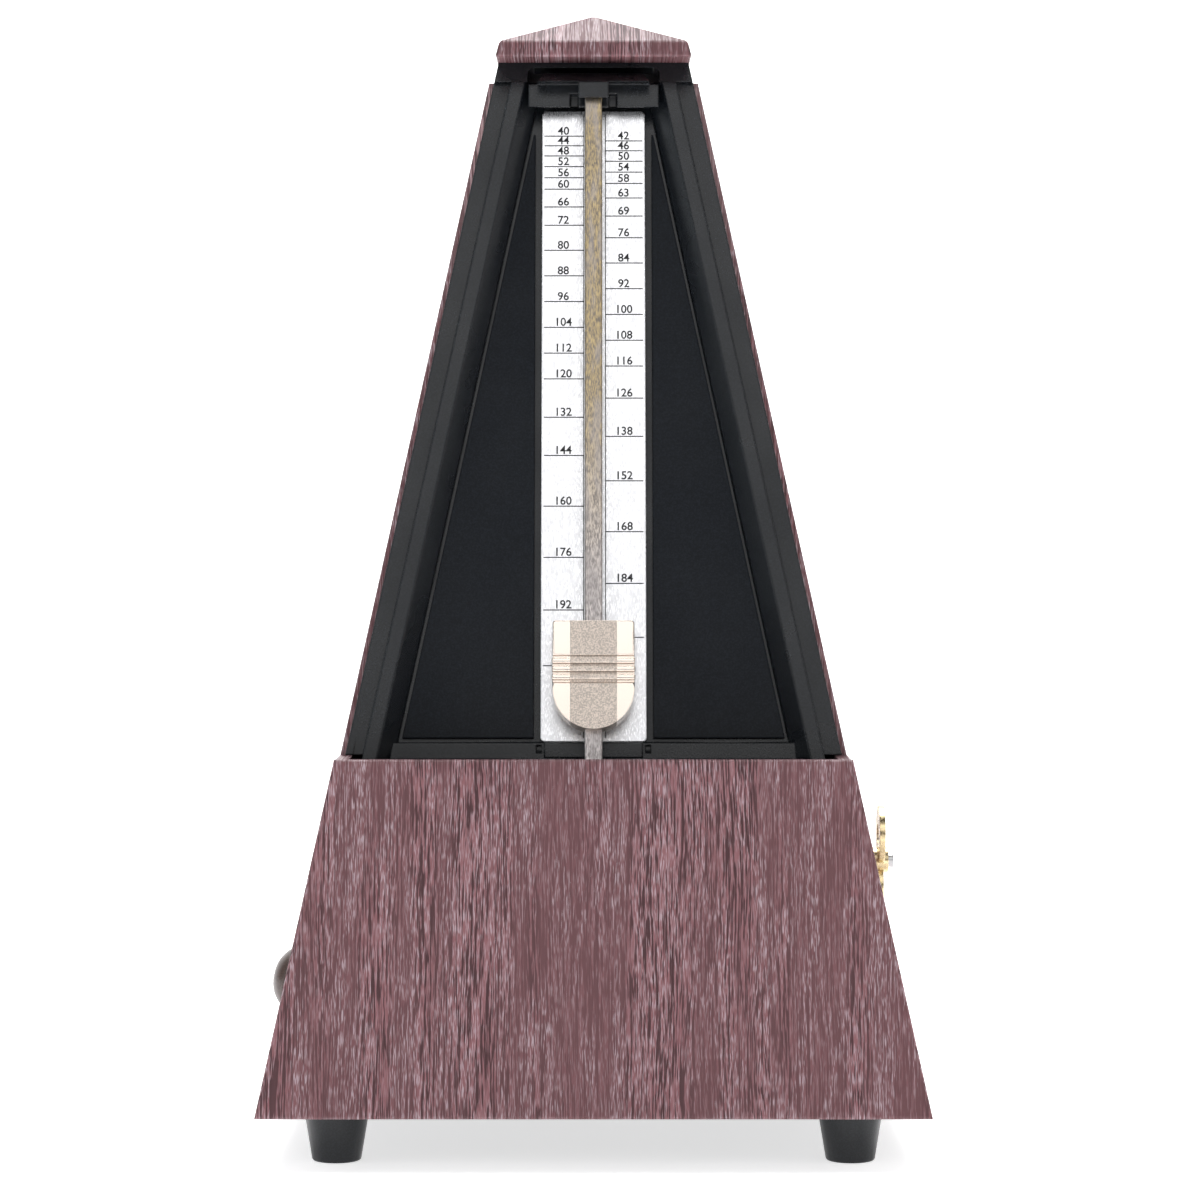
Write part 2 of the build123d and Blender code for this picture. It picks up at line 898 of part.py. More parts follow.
bell_post_step = 1.0
bell_thread = 2.0
bell_nut_radius = 3.0
bell_nut_height = 1.6

hammer_centre = (hammer_y, hammer_z)
follower_length = (
    math.dist(hammer_centre, cam_centre) - cam_radius - lobe_height - follower_reach
)
to_cam = direction(middle_centre, cam_centre)
middle_phase = (to_cam - to_escape) / (360 / middle_teeth) % 1
cam_first_tooth = to_cam + 180 + (middle_phase - 0.5) * 360 / cam_teeth

with BuildPart() as cam_wheel:
    toothed_disc(middle_x, cam_centre, cam_teeth, gear_thickness, cam_first_tooth)
    windows(middle_x, cam_centre, cam_teeth, gear_thickness)
    bore(middle_x, cam_centre, arbor_radius, gear_thickness)
save(cam_wheel.part, "cam_wheel")

with BuildPart() as cam_arbor:
    bar(
        left_plate_x - plate_thickness,
        cam_centre,
        arbor_radius,
        right_plate_x - left_plate_x + 2 * plate_thickness,
    )
    for number, beats in enumerate(cam_beats):
        cam_x = cam_left + number * (cam_width + cam_gap)
        bar(cam_x, cam_centre, cam_radius, cam_width)
        with BuildSketch(wheel_plane(cam_x, cam_centre)):
            with PolarLocations(cam_radius, beats, start_angle=180):
                Rectangle(2 * lobe_height, lobe_width)
        extrude(amount=cam_width)
    bar(cam_left, cam_centre, collet_radius, len(cam_beats) * (cam_width + cam_gap))
save(cam_arbor.part, "cam_arbor")

with BuildPart() as hammer:
    bar(
        hammer_arm_x - hammer_arm_thickness,
        hammer_centre,
        arbor_radius,
        right_plate_x + plate_thickness - hammer_arm_x + hammer_arm_thickness,
    )
    bar(follower_x, hammer_centre, collet_radius, cam_width)
    bar(hammer_arm_x - hammer_arm_thickness, hammer_centre, collet_radius, hammer_arm_thickness)
    with BuildSketch(wheel_plane(follower_x, hammer_centre)):
        with Locations(Location((0, 0, 0), (0, 0, direction(hammer_centre, cam_centre)))):
            with Locations((follower_length / 2, 0)):
                Rectangle(follower_length, follower_thickness)
    extrude(amount=cam_width)
    with BuildSketch(wheel_plane(hammer_arm_x - hammer_arm_thickness, hammer_centre)):
        with BuildLine():
            Polyline(
                (-hammer_arm_width / 2, 0),
                (-hammer_head_back - hammer_arm_width / 2, -hammer_head_drop),
                (-hammer_head_back + hammer_arm_width / 2, -hammer_head_drop),
                (hammer_arm_width / 2, 0),
                close=True,
            )
        make_face()
    extrude(amount=hammer_arm_thickness)
save(hammer.part, "hammer")

head_centre = (hammer_y - hammer_head_back, hammer_z - hammer_head_drop)
head_length = 5.0
with BuildPart() as hammer_head:
    bar(hammer_arm_x, head_centre, hammer_head_radius, head_length)
save(hammer_head.part, "hammer_head")

bell_section = Plane(origin=(bell_x, bell_y, bell_rim), x_dir=(1, 0, 0), z_dir=(0, -1, 0))
with BuildPart() as bell:
    with BuildSketch(bell_section):
        with BuildLine():
            ThreePointArc(
                (bell_radius, 0),
                (bell_radius * bell_shoulder_out, bell_height * bell_shoulder_up),
                (bell_bore, bell_height),
            )
            Line((bell_bore, bell_height), (bell_bore, bell_height - bell_wall))
            ThreePointArc(
                (bell_bore, bell_height - bell_wall),
                (
                    (bell_radius - bell_wall) * bell_shoulder_out,
                    (bell_height - bell_wall) * bell_shoulder_up,
                ),
                (bell_radius - bell_wall, 0),
            )
            Line((bell_radius - bell_wall, 0), (bell_radius, 0))
        make_face()
    revolve(axis=Axis((bell_x, bell_y, 0), (0, 0, 1)))
save(bell.part, "bell")

with BuildPart() as bell_post:
    with BuildSketch(level_plane(floor_top)):
        with Locations((bell_x, bell_y)):
            Circle(bell_post_foot)
    extrude(amount=bell_post_foot_height)
    with BuildSketch(level_plane(floor_top)):
        with Locations((bell_x, bell_y)):
            Circle(bell_post_foot - bell_post_step)
    extrude(amount=bell_rim + bell_height - bell_wall - floor_top)
    with BuildSketch(level_plane(floor_top)):
        with Locations((bell_x, bell_y)):
            Circle(bell_bore - running_gap)
    extrude(amount=bell_rim + bell_height + bell_crown + bell_thread - floor_top)
save(bell_post.part, "bell_post")

with BuildPart() as bell_nut:
    with BuildSketch(level_plane(bell_rim + bell_height + bell_crown)):
        with Locations((bell_x, bell_y)):
            RegularPolygon(bell_nut_radius, 6)
            Circle(bell_bore, mode=Mode.SUBTRACT)
    extrude(amount=bell_nut_height)
save(bell_nut.part, "bell_nut")

# ---------------------------------------------------------------- winding arbor and key
spring_x = -6.0
spring_width = 9.0
spring_strip = 0.35
spring_inner = 3.4
spring_points_per_turn = 12
collet_gap = 0.4
key_plane_x = 53.2
key_tilt = 25.0             # rest angle of the key's wings from upright, towards the back
key_lobe_offset = 5.6
key_waist = 4.6
key_eye_radius = 1.9
key_hub_radius = 2.4
key_hub = 0.9
key_bush_inner = 46.5
key_bush_outer = 51.6
arbor_tip = side_at(key_axis_z) + key_reach
click_angle = 60.0          # from +Y towards +Z, where the click's tip meets the ratchet
click_length = 7.5
click_width = 2.0
click_stud_radius = 0.9
click_play = 0.7            # from the click's tip to the ratchet's teeth
click_turn = 95.0           # from the tip to the stud, about the click's own tip
click_neck = 0.5            # half the click's width beside its tip
click_taper = 0.6           # length of the click's tip
click_head = 0.6            # the stud's head past its shank
click_head_thickness = 0.6
click_head_gap = 0.2
ratchet_tooth_share = 0.9   # of the pitch
bush_flange = 0.6
bush_flange_thickness = 0.8

with BuildPart() as winding_arbor:
    bar(
        left_plate_x - plate_thickness,
        great_centre,
        winding_radius,
        arbor_tip - left_plate_x + plate_thickness,
    )
    bar(spring_x, great_centre, spring_inner - collet_gap, spring_width)
save(winding_arbor.part, "winding_arbor")

with BuildPart() as ratchet_wheel:
    with BuildSketch(wheel_plane(ratchet_x, great_centre)):
        Circle(ratchet_radius - ratchet_step)
        with PolarLocations(ratchet_radius - ratchet_step, ratchet_teeth, start_angle=click_angle):
            Polygon(
                (-tooth_sink, 0),
                (ratchet_step, 0),
                (-tooth_sink, 2 * math.pi * ratchet_radius / ratchet_teeth * ratchet_tooth_share),
                align=None,
            )
        Circle(winding_radius, mode=Mode.SUBTRACT)
    extrude(amount=ratchet_thickness)
save(ratchet_wheel.part, "ratchet_wheel")


def around_great(radius, angle):
    """A point (y, z) about the winding arbor."""
    return (
        key_axis_y + radius * math.cos(math.radians(angle)),
        key_axis_z + radius * math.sin(math.radians(angle)),
    )


tip = (ratchet_radius + click_play, 0.0)
stud_from_tip = (
    click_length * math.cos(math.radians(click_turn)),
    click_length * math.sin(math.radians(click_turn)),
)
stud_local = (tip[0] + stud_from_tip[0], tip[1] + stud_from_tip[1])
stud_radius_out = math.hypot(*stud_local)
stud_angle = click_angle + math.degrees(math.atan2(stud_local[1], stud_local[0]))
click_centre = around_great(stud_radius_out, stud_angle)
click_tip = around_great(tip[0], click_angle)

with BuildPart() as click:
    with BuildSketch(wheel_plane(ratchet_x, click_centre)):
        Circle(click_width)
        with Locations(Location((0, 0, 0), (0, 0, direction(click_centre, click_tip)))):
            Polygon(
                (0, -click_width),
                (click_length - click_taper, -click_neck),
                (click_length, 0),
                (0, click_width),
                align=None,
            )
        Circle(click_stud_radius + running_gap, mode=Mode.SUBTRACT)
    extrude(amount=ratchet_thickness)
save(click.part, "click")

with BuildPart() as click_stud:
    head_x = ratchet_x - click_head_gap - click_head_thickness
    bar(head_x, click_centre, click_stud_radius, great_x - head_x)
    bar(head_x, click_centre, click_stud_radius + click_head, click_head_thickness)
save(click_stud.part, "click_stud")

with BuildPart() as winding_key:
    with BuildSketch(wheel_plane(key_plane_x, great_centre)):
        with Locations(Location((0, 0, 0), (0, 0, 90 + key_tilt))):
            with Locations((-key_lobe_offset, 0), (key_lobe_offset, 0)):
                Circle(key_lobe_radius)
            Rectangle(2 * key_lobe_offset, key_waist)
            with Locations((-key_lobe_offset, 0), (key_lobe_offset, 0)):
                Circle(key_eye_radius, mode=Mode.SUBTRACT)
    extrude(amount=key_plate)
    bar(key_plane_x - key_hub, great_centre, key_hub_radius, key_plate + 2 * key_hub)
    bore(key_plane_x - key_hub, great_centre, winding_radius, key_plate + 2 * key_hub)
save(winding_key.part, "winding_key")

with BuildPart() as key_bush:
    bar(key_bush_inner, great_centre, key_bush_radius - running_gap, key_bush_outer - key_bush_inner)
    bar(
        key_bush_outer - bush_flange_thickness,
        great_centre,
        key_bush_radius + bush_flange,
        bush_flange_thickness,
    )
    bore(key_bush_inner, great_centre, winding_radius + running_gap, key_bush_outer - key_bush_inner)
save(key_bush.part, "key_bush")


def spiral_points(start_radius):
    """Points along the mainspring's edge, from the arbor outwards."""
    pitch = (spring_radius - spring_inner) / spring_turns
    count = spring_turns * spring_points_per_turn
    points = []
    for step in range(count + 1):
        turn = step / spring_points_per_turn
        radius = start_radius + pitch * turn
        angle = 2 * math.pi * turn
        points.append((radius * math.cos(angle), radius * math.sin(angle)))
    return points


with BuildPart() as mainspring:
    with BuildSketch(wheel_plane(spring_x, great_centre)):
        with BuildLine():
            inside = Spline(*spiral_points(spring_inner))
            outside = Spline(*spiral_points(spring_inner + spring_strip))
            Line(inside @ 0, outside @ 0)
            Line(inside @ 1, outside @ 1)
        make_face()
    extrude(amount=spring_width)
save(mainspring.part, "mainspring")

# ---------------------------------------------------------------- movement frame
pillar_radius = 1.8
pillar_places = [(-22.0, 15.0), (33.0, 15.0), (-3.0, 62.5), (33.0, 62.0)]
pillar_screw_radius = 1.0
pillar_screw_head = 1.9
pillar_screw_bite = 5.0
ear_front = -34.5
ear_bottom = 47.0
ear_top = 61.0
escape_cock_x = 7.4
escape_cock_thickness = 1.4
escape_cock_width = 5.0
escape_posts = [(-7.0, 3.0), (7.0, 5.5)]
escape_post_radius = 1.6
spring_stud_radius = 1.2
spring_stud_length = 20.0
movement_places = {
    "middle": middle_centre,
    "cam": cam_centre,
    "hammer": hammer_centre,
}


def movement_plate(x, name, through):
    """One upright plate, drilled for (centre, radius) pairs."""
    with BuildPart() as plate:
        with BuildSketch(wheel_plane(x, (0, 0))):
            with BuildLine():
                Polyline(
                    (plate_front, floor_top),
                    (plate_back, floor_top),
                    (plate_back, plate_height),
                    (plate_front, plate_height),
                    (ear_front, ear_top),
                    (ear_front, ear_bottom),
                    (plate_front, ear_bottom - plate_front + ear_front),
                    close=True,
                )
            make_face()
        extrude(amount=plate_thickness)
        for centre, radius in through:
            bore(x, centre, radius, plate_thickness)
        for centre in pillar_places:
            bore(x, centre, pillar_screw_radius + running_gap, plate_thickness)
    save(plate.part, name)


arbor_holes = [(centre, arbor_radius + running_gap) for centre in movement_places.values()]
winding_hole = (great_centre, winding_radius + running_gap)
selector_hole = ((selector_y, selector_z), selector_rod_radius + running_gap)
escape_hole = (escape_centre, arbor_radius + running_gap)
movement_plate(
    left_plate_x - plate_thickness,
    "left_movement_plate",
    [*arbor_holes, winding_hole, selector_hole],
)
movement_plate(right_plate_x, "right_movement_plate", [*arbor_holes, winding_hole, escape_hole])

with BuildPart() as pillars:
    for centre in pillar_places:
        bar(left_plate_x, centre, pillar_radius, right_plate_x - left_plate_x)
        for start in (left_plate_x, right_plate_x - pillar_screw_bite):
            bore(start, centre, pillar_screw_radius + running_gap, pillar_screw_bite)
save(pillars.part, "pillars")

pillar_head_height = 1.2
pillar_screw_end = 1.0      # room left past a pillar screw's end
plate_faces = ((left_plate_x - plate_thickness, -1), (right_plate_x + plate_thickness, 1))
with BuildPart() as pillar_screws:
    for centre in pillar_places:
        for face, outward in plate_faces:
            head_start = face if outward > 0 else face - pillar_head_height
            shank = plate_thickness + pillar_screw_bite - pillar_screw_end
            shank_start = face - shank if outward > 0 else face
            bar(head_start, centre, pillar_screw_head, pillar_head_height)
            bar(shank_start, centre, pillar_screw_radius, shank)
save(pillar_screws.part, "pillar_screws")


def arbor_cock(at, low_x, high_x, name):
    """A bar square to the pendulum arbor that carries one end of it."""
    with BuildPart() as cock:
        with BuildSketch(arbor_plane(at)):
            with Locations(((low_x + high_x) / 2, 0)):
                Rectangle(high_x - low_x, cock_height)
            Circle(arbor_radius + running_gap, mode=Mode.SUBTRACT)
        extrude(amount=-cock_thickness)
    save(cock.part, name)


arbor_cock(front_cock_at, left_plate_x, right_plate_x, "front_cock")
arbor_cock(rear_cock_at, left_plate_x, rear_cock_end, "rear_cock")

with BuildPart() as escape_cock:
    with BuildSketch(wheel_plane(escape_cock_x, escape_centre)):
        for across, rise in escape_posts:
            middle = Location(
                (across / 2, rise / 2, 0),
                (0, 0, math.degrees(math.atan2(rise, across))),
            )
            with Locations(middle):
                SlotCenterToCenter(math.hypot(across, rise), escape_cock_width)
        Circle(arbor_radius + running_gap, mode=Mode.SUBTRACT)
    extrude(amount=escape_cock_thickness)
    for across, rise in escape_posts:
        bar(
            escape_cock_x,
            (escape_centre[0] + across, escape_centre[1] + rise),
            escape_post_radius,
            right_plate_x - escape_cock_x,
        )
save(escape_cock.part, "escape_cock")

with BuildPart() as spring_stud:
    bar(
        left_plate_x,
        (key_axis_y + spring_radius + spring_strip + spring_stud_radius, key_axis_z),
        spring_stud_radius,
        spring_stud_length,
    )
save(spring_stud.part, "spring_stud")

# ---------------------------------------------------------------- brackets on the floor
bracket_width = 8.0
bracket_arm = 7.0
bracket_thickness = 1.2
bracket_places = (-12.0, 24.0)
bracket_screw_head = 2.1
bracket_head_height = 1.2
bracket_slot = (3.2, 0.5)
bracket_slot_floor = 0.5

with BuildPart() as brackets:
    for face, outward in plate_faces:
        for place in bracket_places:
            with BuildSketch(Plane.XZ.offset(-place - bracket_width / 2)):
                with BuildLine():
                    Polyline(
                        (face, floor_top),
                        (face + outward * bracket_arm, floor_top),
                        (face + outward * bracket_arm, floor_top + bracket_thickness),
                        (face + outward * bracket_thickness, floor_top + bracket_thickness),
                        (face + outward * bracket_thickness, floor_top + bracket_arm),
                        (face, floor_top + bracket_arm),
                        close=True,
                    )
                make_face()
            extrude(amount=bracket_width)
save(brackets.part, "brackets")

bracket_screw_places = [
    (face + outward * (bracket_arm + bracket_thickness) / 2, place)
    for face, outward in plate_faces
    for place in bracket_places
]
with BuildPart() as bracket_screws:
    with BuildSketch(level_plane(floor_top + bracket_thickness)):
        with Locations(*bracket_screw_places):
            Circle(bracket_screw_head)
            Rectangle(*bracket_slot, mode=Mode.SUBTRACT)
    extrude(amount=bracket_head_height)
    with BuildSketch(level_plane(floor_top + bracket_thickness)):
        with Locations(*bracket_screw_places):
            Circle(bracket_screw_head)
    extrude(amount=bracket_slot_floor)
save(bracket_screws.part, "bracket_screws")

# ---------------------------------------------------------------- beat selector
selector_end = -6.0
knob_gap = 1.6              # side wall to the knob's inner face
knob_rim = 0.7
knob_shoulder_out = 0.62    # the crown's shoulder, as shares of its radius and thickness
knob_shoulder_up = 0.78
collar_radius = 2.6
collar_length = 3.0
collar_x = -24.0


def left_wall_plane(height, y):
    """A plane on the left wall's outer face, facing out."""
    return Plane(
        origin=(-side_at(height), y, height),
        x_dir=(0, 1, 0),
        z_dir=(-1, 0, wall_slope),
    )


knob_plane = left_wall_plane(selector_z, selector_y)
knob_centre_x = -side_at(selector_z) - knob_gap

with BuildPart() as selector_rod:
    bar(knob_centre_x, (selector_y, selector_z), selector_rod_radius, selector_end - knob_centre_x)
    bar(collar_x, (selector_y, selector_z), collar_radius, collar_length)
save(selector_rod.part, "selector_rod")

with BuildPart() as selector_knob:
    with BuildSketch(Plane(origin=knob_plane.origin, x_dir=(0, 1, 0), z_dir=(wall_slope, 0, 1))):
        with BuildLine():
            Polyline(
                (0, knob_gap),
                (knob_radius - knob_rim, knob_gap),
                (knob_radius, knob_gap + knob_rim),
            )
            ThreePointArc(
                (knob_radius, knob_gap + knob_rim),
                (knob_radius * knob_shoulder_out, knob_gap + knob_thickness * knob_shoulder_up),
                (0, knob_gap + knob_thickness),
            )
            Line((0, knob_gap + knob_thickness), (0, knob_gap))
        make_face()
    revolve(axis=Axis(knob_plane.origin, knob_plane.z_dir))
    bore(
        knob_centre_x - knob_thickness,
        (selector_y, selector_z),
        selector_rod_radius,
        2 * knob_thickness,
    )
save(selector_knob.part, "selector_knob")
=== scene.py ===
"""Finished look of a clockwork pyramid metronome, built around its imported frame."""

import json
import math

import bmesh
import bpy
from bpy.props import FloatProperty, FloatVectorProperty, IntProperty, PointerProperty
from mathutils import Matrix, Vector


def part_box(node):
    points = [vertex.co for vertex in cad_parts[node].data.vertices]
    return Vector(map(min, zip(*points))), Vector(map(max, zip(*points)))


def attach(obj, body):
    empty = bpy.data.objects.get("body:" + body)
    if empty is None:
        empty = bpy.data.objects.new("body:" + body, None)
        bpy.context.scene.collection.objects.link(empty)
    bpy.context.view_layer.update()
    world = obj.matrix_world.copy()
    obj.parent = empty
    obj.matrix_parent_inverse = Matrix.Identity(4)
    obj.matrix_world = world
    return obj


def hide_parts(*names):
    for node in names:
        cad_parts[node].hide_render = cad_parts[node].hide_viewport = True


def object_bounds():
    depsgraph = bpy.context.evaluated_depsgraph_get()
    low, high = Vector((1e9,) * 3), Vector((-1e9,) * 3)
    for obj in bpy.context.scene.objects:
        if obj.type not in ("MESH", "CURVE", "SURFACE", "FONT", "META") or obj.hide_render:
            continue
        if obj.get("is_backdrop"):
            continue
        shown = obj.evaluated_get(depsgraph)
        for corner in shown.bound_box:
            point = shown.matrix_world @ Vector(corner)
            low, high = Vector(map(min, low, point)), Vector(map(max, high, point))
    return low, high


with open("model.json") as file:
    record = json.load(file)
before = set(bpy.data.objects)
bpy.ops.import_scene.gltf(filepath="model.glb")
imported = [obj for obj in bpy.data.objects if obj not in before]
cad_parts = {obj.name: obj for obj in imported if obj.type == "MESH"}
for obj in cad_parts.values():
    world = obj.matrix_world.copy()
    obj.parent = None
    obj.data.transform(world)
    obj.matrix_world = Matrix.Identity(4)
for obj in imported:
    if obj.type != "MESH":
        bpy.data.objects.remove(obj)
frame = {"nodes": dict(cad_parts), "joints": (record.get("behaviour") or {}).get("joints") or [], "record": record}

bl_info = {
    "name": "Clockwork Metronome",
    "version": (1, 0, 0),
    "blender": (4, 5, 0),
    "location": "3D View > Sidebar > Metronome",
    "description": "Builds the finished pieces and finishes of a clockwork pyramid metronome",
    "category": "Object",
}

# ------------------------------------------------------------------ the frame's own sizes
MM = 0.001
CAD_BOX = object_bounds()
JOINTS = {joint["name"]: joint for joint in frame["joints"]}
ACROSS = Vector((1, 0, 0))
OUT = Vector(JOINTS["pendulum_swing"]["axis"]).normalized()     # square out of the sloping front
UP = Vector(JOINTS["weight_slide"]["axis"]).normalized()        # up the sloping front
PIVOT = Vector(JOINTS["pendulum_swing"]["pos_m"])
SLOPE = UP.y / UP.z                                             # lean of every wall
SLOTS = {part["node"]: part["material_slot"] for part in frame["record"]["subparts"]}
BODIES = {
    node: body
    for body, nodes in frame["record"]["behaviour"]["bodies"].items()
    for node in nodes
}
MERGE = 1e-6
FLAT = math.radians(1)
SMOOTH = math.radians(32)

LEFT_TEMPOS = (
    40, 44, 48, 52, 56, 60, 66, 72, 80, 88, 96, 104, 112, 120, 132, 144, 160, 176, 192, 208,
)
RIGHT_TEMPOS = (
    42, 46, 50, 54, 58, 63, 69, 76, 84, 92, 100, 108, 116, 126, 138, 152, 168, 184, 200,
)


def front_place():
    """Matrix to the shared frame from across, up and out of the front, counted from the pivot."""
    return Matrix.Translation(PIVOT) @ Matrix((ACROSS, UP, OUT)).transposed().to_4x4()


def front_span(node):
    """Lowest and highest corner of a CAD piece across, up and out of the front."""
    back = front_place().inverted()
    points = [back @ vertex.co for vertex in frame["nodes"][node].data.vertices]
    low = Vector([min(point[i] for point in points) for i in range(3)])
    high = Vector([max(point[i] for point in points) for i in range(3)])
    return low, high


# ------------------------------------------------------------------ settings a user would change
def colour_setting(name, text, value):
    """A colour that a user can change."""
    return FloatVectorProperty(
        name=name, description=text, default=value, subtype="COLOR", min=0, max=1
    )


def length_setting(name, text, value, least, most):
    """A length that a user can change."""
    return FloatProperty(
        name=name, description=text, default=value, min=least, max=most, unit="LENGTH"
    )


class MetronomeWoodSettings(bpy.types.PropertyGroup):
    """Sizes and colours of the moulded wood grain."""

    pitch: length_setting(
        "Streak pitch", "Width of one raised streak and its groove",
        0.30 * MM, 0.1 * MM, 5 * MM,
    )
    length: length_setting(
        "Streak length", "Usual length of a raised streak",
        9.5 * MM, 1 * MM, 50 * MM,
    )
    depth: length_setting(
        "Grain depth", "Crest to groove on the lower front board",
        0.07 * MM, 0.0, 0.5 * MM,
    )
    groove_colour: colour_setting(
        "Groove colour", "Colour deep in the grain",
        (0.060, 0.022, 0.026),
    )
    crest_colour: colour_setting(
        "Crest colour", "Colour on top of the grain",
        (0.250, 0.104, 0.116),
    )
    # Painted highlight: pale flecks on the grain's crests stand in for light glinting off the glossy moulding. The
    # same colour also lightens the rubbed edges.
    fleck_colour: colour_setting(
        "Fleck colour", "Colour of the rubbed tips of the grain",
        (0.52, 0.42, 0.46),
    )
    edge_radius: length_setting(
        "Edge radius", "Rounding of the boards' edges",
        0.55 * MM, 0.05 * MM, 3 * MM,
    )


class MetronomePlasticSettings(bpy.types.PropertyGroup):
    """Colours and rounding of the black moulded trim."""

    trim_colour: colour_setting(
        "Trim colour", "Black of the frame, ledge, neck and feet",
        (0.0050, 0.0062, 0.0082),
    )
    panel_colour: colour_setting(
        "Panel colour", "Blue-black of the inset panels",
        (0.0026, 0.0042, 0.0070),
    )
    knob_colour: colour_setting(
        "Knob colour", "Dark brown of the beat selector's knob",
        (0.050, 0.030, 0.024),
    )
    edge_radius: length_setting(
        "Edge radius", "Rounding of the black pieces' edges",
        0.22 * MM, 0.02 * MM, 1 * MM,
    )


class MetronomeScaleSettings(bpy.types.PropertyGroup):
    """Sizes of the printed tempo scale."""

    digit_size: length_setting(
        "Digit size", "Type size of the tempo numbers",
        2.1 * MM, 0.5 * MM, 5 * MM,
    )
    line_width: length_setting(
        "Line width", "Width of the printed lines",
        0.20 * MM, 0.02 * MM, 1 * MM,
    )
    ink_height: length_setting(
        "Ink height", "How far the print stands on the plate",
        0.012 * MM, 0.002 * MM, 0.1 * MM,
    )
    ink_colour: colour_setting("Ink colour", "Colour of the print", (0.012, 0.012, 0.014))


class MetronomeMetalSettings(bpy.types.PropertyGroup):
    """Colours of the metals."""

    plate_colour: colour_setting(
        "Scale colour", "Brushed aluminium of the scale plate",
        (0.88, 0.88, 0.90),
    )
    rod_warm_colour: colour_setting(
        "Rod colour at the top", "Brassy tone of the rod's upper part",
        (0.43, 0.335, 0.185),
    )
    rod_cool_colour: colour_setting(
        "Rod colour at the bottom", "Steel tone of the rod's lower part",
        (0.62, 0.57, 0.56),
    )
    weight_colour: colour_setting(
        "Weight colour", "Champagne plating of the sliding weight",
        (0.80, 0.70, 0.62),
    )
    brass_colour: colour_setting(
        "Brass colour", "Brass of the key and the movement",
        (0.74, 0.60, 0.36),
    )
    rib_count: IntProperty(
        name="Weight ribs", description="Raised bars across the sliding weight",
        default=3, min=1, max=6,
    )


class MetronomeStageSettings(bpy.types.PropertyGroup):
    """Camera and light of the plain studio."""

    lens: FloatProperty(
        name="Lens", description="Focal length on a 36 mm sensor",
        default=115.29, min=20, max=300,
    )
    distance: length_setting("Distance", "Camera to the foot of the front board", 0.650, 0.2, 5)
    height: length_setting("Camera height", "Camera above the floor", 0.115, 0, 2)


# ------------------------------------------------------------------ node helpers
def feed(tree, node, inputs):
    """Links or sets each named input of a node."""
    for name, value in inputs.items():
        if isinstance(value, bpy.types.NodeSocket):
            tree.links.new(value, node.inputs[name])
        else:
            node.inputs[name].default_value = value


def add(tree, kind, inputs=None, **settings):
    """A node with its settings, and each input linked or set."""
    made = tree.nodes.new(kind)
    for name, value in settings.items():
        setattr(made, name, value)
    feed(tree, made, inputs or {})
    return made


def calculate(tree, operation, *values):
    """The result of one sum."""
    return add(tree, "ShaderNodeMath", dict(enumerate(values)), operation=operation).outputs[0]


def times(tree, value, factor):
    """The product of two values."""
    return calculate(tree, "MULTIPLY", value, factor)


def noise(tree, place, detail=2.0, roughness=0.5):
    """A value that wanders from 0 to 1, one turn for each unit of its place."""
    made = add(tree, "ShaderNodeTexNoise", {
        "Vector": place, "Scale": 1.0, "Detail": detail, "Roughness": roughness,
    })
    return made.outputs[0]


def stretched(tree, place, across, along):
    """A place counted in steps of one length across the grain and another along it."""
    steps = add(tree, "ShaderNodeCombineXYZ", {
        0: calculate(tree, "DIVIDE", 1.0, across),
        1: calculate(tree, "DIVIDE", 1.0, across),
        2: calculate(tree, "DIVIDE", 1.0, along),
    })
    return add(
        tree, "ShaderNodeVectorMath", {0: place, 1: steps.outputs[0]}, operation="MULTIPLY"
    ).outputs[0]


def ramp(tree, value, low, high, to_low=0.0, to_high=1.0):
    """A value eased from one range to another."""
    made = add(tree, "ShaderNodeMapRange", {
        0: value, 1: low, 2: high, 3: to_low, 4: to_high,
    }, interpolation_type="SMOOTHSTEP")
    return made.outputs[0]


def group_tree(name, inputs, outputs):
    """A new shader node group with its sockets, and its input and output nodes."""
    tree = bpy.data.node_groups.new(name, "ShaderNodeTree")
    for socket, kind, value in inputs:
        made = tree.interface.new_socket(socket, in_out="INPUT", socket_type=kind)
        made.default_value = value
    for socket, kind in outputs:
        tree.interface.new_socket(socket, in_out="OUTPUT", socket_type=kind)
    return tree, tree.nodes.new("NodeGroupInput"), tree.nodes.new("NodeGroupOutput")


def object_place(tree):
    """The point of the surface in the piece's own coordinates, in metres."""
    return tree.nodes.new("ShaderNodeTexCoord").outputs["Object"]


def wall_place(tree):
    """A point of a wall as its distance across and up, whichever way the wall faces."""
    source = tree.nodes.new("ShaderNodeTexCoord")
    place = add(tree, "ShaderNodeSeparateXYZ", {0: source.outputs["Object"]})
    facing = add(tree, "ShaderNodeSeparateXYZ", {0: source.outputs["Normal"]})
    side = calculate(tree, "GREATER_THAN", calculate(tree, "ABSOLUTE", facing.outputs["X"]), 0.5)
    from_x = times(tree, place.outputs["X"], calculate(tree, "SUBTRACT", 1.0, side))
    from_y = times(tree, place.outputs["Y"], side)
    return add(tree, "ShaderNodeCombineXYZ", {
        0: calculate(tree, "ADD", from_x, from_y), 1: side, 2: place.outputs["Z"],
    }).outputs[0]


